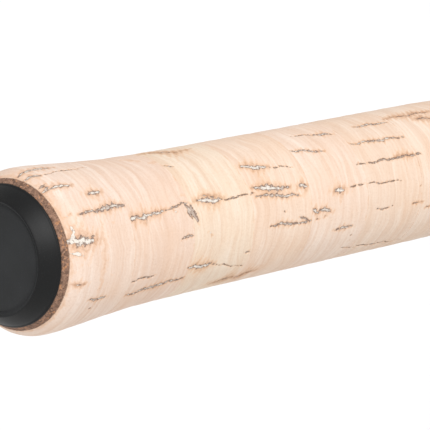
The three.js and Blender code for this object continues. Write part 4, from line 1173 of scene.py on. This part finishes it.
def make_stage():
    """A pale floor, white surroundings, one soft light, and the camera beyond the butt."""
    scene = bpy.context.scene
    scene.view_settings.view_transform = "Standard"
    scene.view_settings.look = "None"
    scene.view_settings.exposure = 0.0
    scene.view_settings.gamma = 1.0

    # A lit white acrylic table: matt, and glowing just enough that it reads as clean white.
    floor_material, add = new_material("lit_white_acrylic")
    cloud = add("TexNoise", {"Vector": millimetres(add), "Scale": 0.002, "Detail": 2.0})
    white = lay_over(add, srgb("#e8e8e8"), ((cloud, SOFTLY, "#e6e6e6"),))
    surface(
        add, cloud, 0.01, 0.1, Base_Color=white, Roughness=0.9, Emission_Color="#ffffff",
        Emission_Strength=0.08,
    )
    bm = bmesh.new()
    bmesh.ops.create_grid(bm, x_segments=4, y_segments=4, size=FLOOR_HALF)
    bmesh.ops.translate(bm, verts=bm.verts, vec=(0, 0, CAD_BOX[0][2] - FLOOR_GAP))
    mesh = bpy.data.meshes.new("floor")
    bm.to_mesh(mesh)
    bm.free()
    mesh.materials.append(floor_material)
    floor = bpy.data.objects.new("floor", mesh)
    scene.collection.objects.link(floor)

    world = bpy.data.worlds.new("studio")
    world.use_nodes = True
    backdrop = world.node_tree.nodes["Background"].inputs
    backdrop["Color"].default_value = srgb("#ffffff")
    backdrop["Strength"].default_value = WORLD_STRENGTH
    scene.world = world

    rise, swing = math.radians(CAMERA_RISE), math.radians(CAMERA_SWING)
    forward = Vector((
        math.cos(rise) * math.cos(swing), math.cos(rise) * math.sin(swing), -math.sin(rise),
    ))
    right = Vector((math.sin(swing), -math.cos(swing), 0))
    up = right.cross(forward)
    rim = Vector((RIM_X, 0, 0))
    place = (rim + right * CAMERA_RIGHT + up * CAMERA_UP - forward * CAMERA_BACK) * MM
    data = bpy.data.cameras.new("camera")
    data.lens = CAMERA_LENS
    data.sensor_width = CAMERA_SENSOR
    data.clip_start = 0.01
    data.clip_end = 50.0
    camera = bpy.data.objects.new("camera", data)
    basis = Matrix((right, up, -forward)).transposed().to_4x4()
    camera.matrix_world = Matrix.Translation(place) @ basis
    scene.collection.objects.link(camera)
    scene.camera = camera

    key = -forward + up * KEY_RISE + right * KEY_SIDE
    add_soft_light("key_softbox", key, KEY_STRENGTH, KEY_SPREAD)


# ---- user's settings, operators and panel -------------------------------------------------------


def colour_setting(name, description, code):
    """A colour that the user may change."""
    return bpy.props.FloatVectorProperty(
        name=name, description=description, subtype="COLOR", size=4, min=0.0, max=1.0,
        default=srgb(code),
    )


def size_setting(name, description, millimetres_default, low, high):
    """A length that the user may change."""
    return bpy.props.FloatProperty(
        name=name, description=description, unit="LENGTH", subtype="DISTANCE", precision=5,
        default=millimetres_default * MM, min=low * MM, max=high * MM,
    )


class RodColours(bpy.types.PropertyGroup):
    """Colours of the finishes."""

    rubber: colour_setting("Rubber", "Butt cap, drag knob and handle knob", "#1e1f20")
    composite: colour_setting("Composite cork", "Ground cork ring under the butt cap", "#8a6b59")
    carbon: colour_setting("Blank", "Carbon under the clear coat", "#141517")
    seat: colour_setting("Reel seat", "Graphite-filled nylon", "#24252a")
    anodised: colour_setting("Hoods and trim", "Anodised alloy", "#5a5e65")
    housing: colour_setting("Reel housing", "Powder paint on the castings", "#2b2e34")
    spool: colour_setting("Spool", "Clear anodised alloy", "#c6c9ce")
    thread: colour_setting("Whipping", "Thread that binds the guides", "#202126")
    accent: colour_setting("Whipping band", "Accent thread", "#a66e40")


class RodSizes(bpy.types.PropertyGroup):
    """Sizes of the surface detail."""

    cork_cell: size_setting(
        "Cork detail", "Distance between points on the cork's surface", 0.2, 0.1, 2.0
    )
    channel_depth: size_setting(
        "Channel depth", "How deep the cork's open channels are", 0.22, 0.0, 0.8
    )
    thread_pitch: size_setting(
        "Seat thread pitch", "Advance of the seat's thread in one turn", 1.5, 1.0, 3.0
    )
    wrap_thickness: size_setting(
        "Whipping thickness", "Thread and lacquer over the blank", 0.35, 0.1, 0.8
    )
    bail_wire: size_setting("Bail wire", "Diameter of the bail's wire", 1.8, 1.2, 2.0)
    casting_detail: size_setting(
        "Casting detail", "How finely castings are rounded over", 0.45, 0.3, 1.0
    )


class ROD_OT_stage(bpy.types.Operator):
    """Add the floor, the light and the camera"""

    bl_idname = "rod.stage"
    bl_label = "Stage"

    def execute(self, context):
        make_stage()
        return {"FINISHED"}


class ROD_OT_butt_end(bpy.types.Operator):
    """Add the butt cap and its composite cork ring"""

    bl_idname = "rod.butt_end"
    bl_label = "Butt End"

    def execute(self, context):
        make_butt_end()
        return {"FINISHED"}


class ROD_OT_rear_grip(bpy.types.Operator):
    """Add the rear grip's cork rings"""

    bl_idname = "rod.rear_grip"
    bl_label = "Rear Grip"

    def execute(self, context):
        make_rear_grip()
        return {"FINISHED"}


class ROD_OT_reel_seat(bpy.types.Operator):
    """Add the reel seat with its hoods, thread and lock nut"""

    bl_idname = "rod.reel_seat"
    bl_label = "Reel Seat"

    def execute(self, context):
        make_reel_seat()
        return {"FINISHED"}


class ROD_OT_fore_grip(bpy.types.Operator):
    """Add the fore grip's cork rings and the winding check"""

    bl_idname = "rod.fore_grip"
    bl_label = "Fore Grip"

    def execute(self, context):
        make_fore_grip()
        return {"FINISHED"}


class ROD_OT_blank(bpy.types.Operator):
    """Add the blank and the whipping in front of the grip"""

    bl_idname = "rod.blank"
    bl_label = "Blank"

    def execute(self, context):
        make_blank()
        return {"FINISHED"}


class ROD_OT_guides(bpy.types.Operator):
    """Add the line guides, the tip ring and their whippings"""

    bl_idname = "rod.guides"
    bl_label = "Guides"

    def execute(self, context):
        make_guides()
        return {"FINISHED"}


class ROD_OT_housing(bpy.types.Operator):
    """Add the reel's castings, rear guard and cover screws"""

    bl_idname = "rod.housing"
    bl_label = "Reel Housing"

    def execute(self, context):
        make_housing()
        return {"FINISHED"}


class ROD_OT_inner_works(bpy.types.Operator):
    """Finish the gears, shafts and bearings inside the reel"""

    bl_idname = "rod.inner_works"
    bl_label = "Inner Works"

    def execute(self, context):
        make_inner_works()
        return {"FINISHED"}


class ROD_OT_rotor(bpy.types.Operator):
    """Add the rotor, the bail and the line roller"""

    bl_idname = "rod.rotor"
    bl_label = "Rotor and Bail"

    def execute(self, context):
        make_rotor()
        return {"FINISHED"}


class ROD_OT_spool(bpy.types.Operator):
    """Add the spool and the drag knob"""

    bl_idname = "rod.spool"
    bl_label = "Spool and Drag"

    def execute(self, context):
        make_spool()
        return {"FINISHED"}


class ROD_OT_handle(bpy.types.Operator):
    """Add the handle, its knob and cap, and the anti-reverse lever"""

    bl_idname = "rod.handle"
    bl_label = "Handle"

    def execute(self, context):
        make_handle()
        return {"FINISHED"}


OPERATORS = (
    ROD_OT_stage, ROD_OT_butt_end, ROD_OT_rear_grip, ROD_OT_reel_seat, ROD_OT_fore_grip,
    ROD_OT_blank, ROD_OT_guides, ROD_OT_housing, ROD_OT_inner_works, ROD_OT_rotor, ROD_OT_spool,
    ROD_OT_handle,
)


class ROD_PT_build(bpy.types.Panel):
    """The sizes, the colours and the build steps, in order"""

    bl_label = "Spinning Rod"
    bl_space_type = "VIEW_3D"
    bl_region_type = "UI"
    bl_category = "Rod"

    def draw(self, context):
        for group in (context.scene.rod_sizes, context.scene.rod_colours):
            for name in group.__annotations__:
                self.layout.prop(group, name)
        for operator in OPERATORS:
            self.layout.operator(operator.bl_idname)


CLASSES = (RodColours, RodSizes, *OPERATORS, ROD_PT_build)


def register():
    for cls in CLASSES:
        bpy.utils.register_class(cls)
    bpy.types.Scene.rod_colours = bpy.props.PointerProperty(type=RodColours)
    bpy.types.Scene.rod_sizes = bpy.props.PointerProperty(type=RodSizes)


def unregister():
    del bpy.types.Scene.rod_sizes
    del bpy.types.Scene.rod_colours
    for cls in reversed(CLASSES):
        bpy.utils.unregister_class(cls)


def main():
    register()
    bpy.ops.rod.stage()
    bpy.ops.rod.butt_end()
    bpy.ops.rod.rear_grip()
    bpy.ops.rod.reel_seat()
    bpy.ops.rod.fore_grip()
    bpy.ops.rod.blank()
    bpy.ops.rod.guides()
    bpy.ops.rod.housing()
    bpy.ops.rod.inner_works()
    bpy.ops.rod.rotor()
    bpy.ops.rod.spool()
    bpy.ops.rod.handle()


if __name__ == "__main__":
    main()
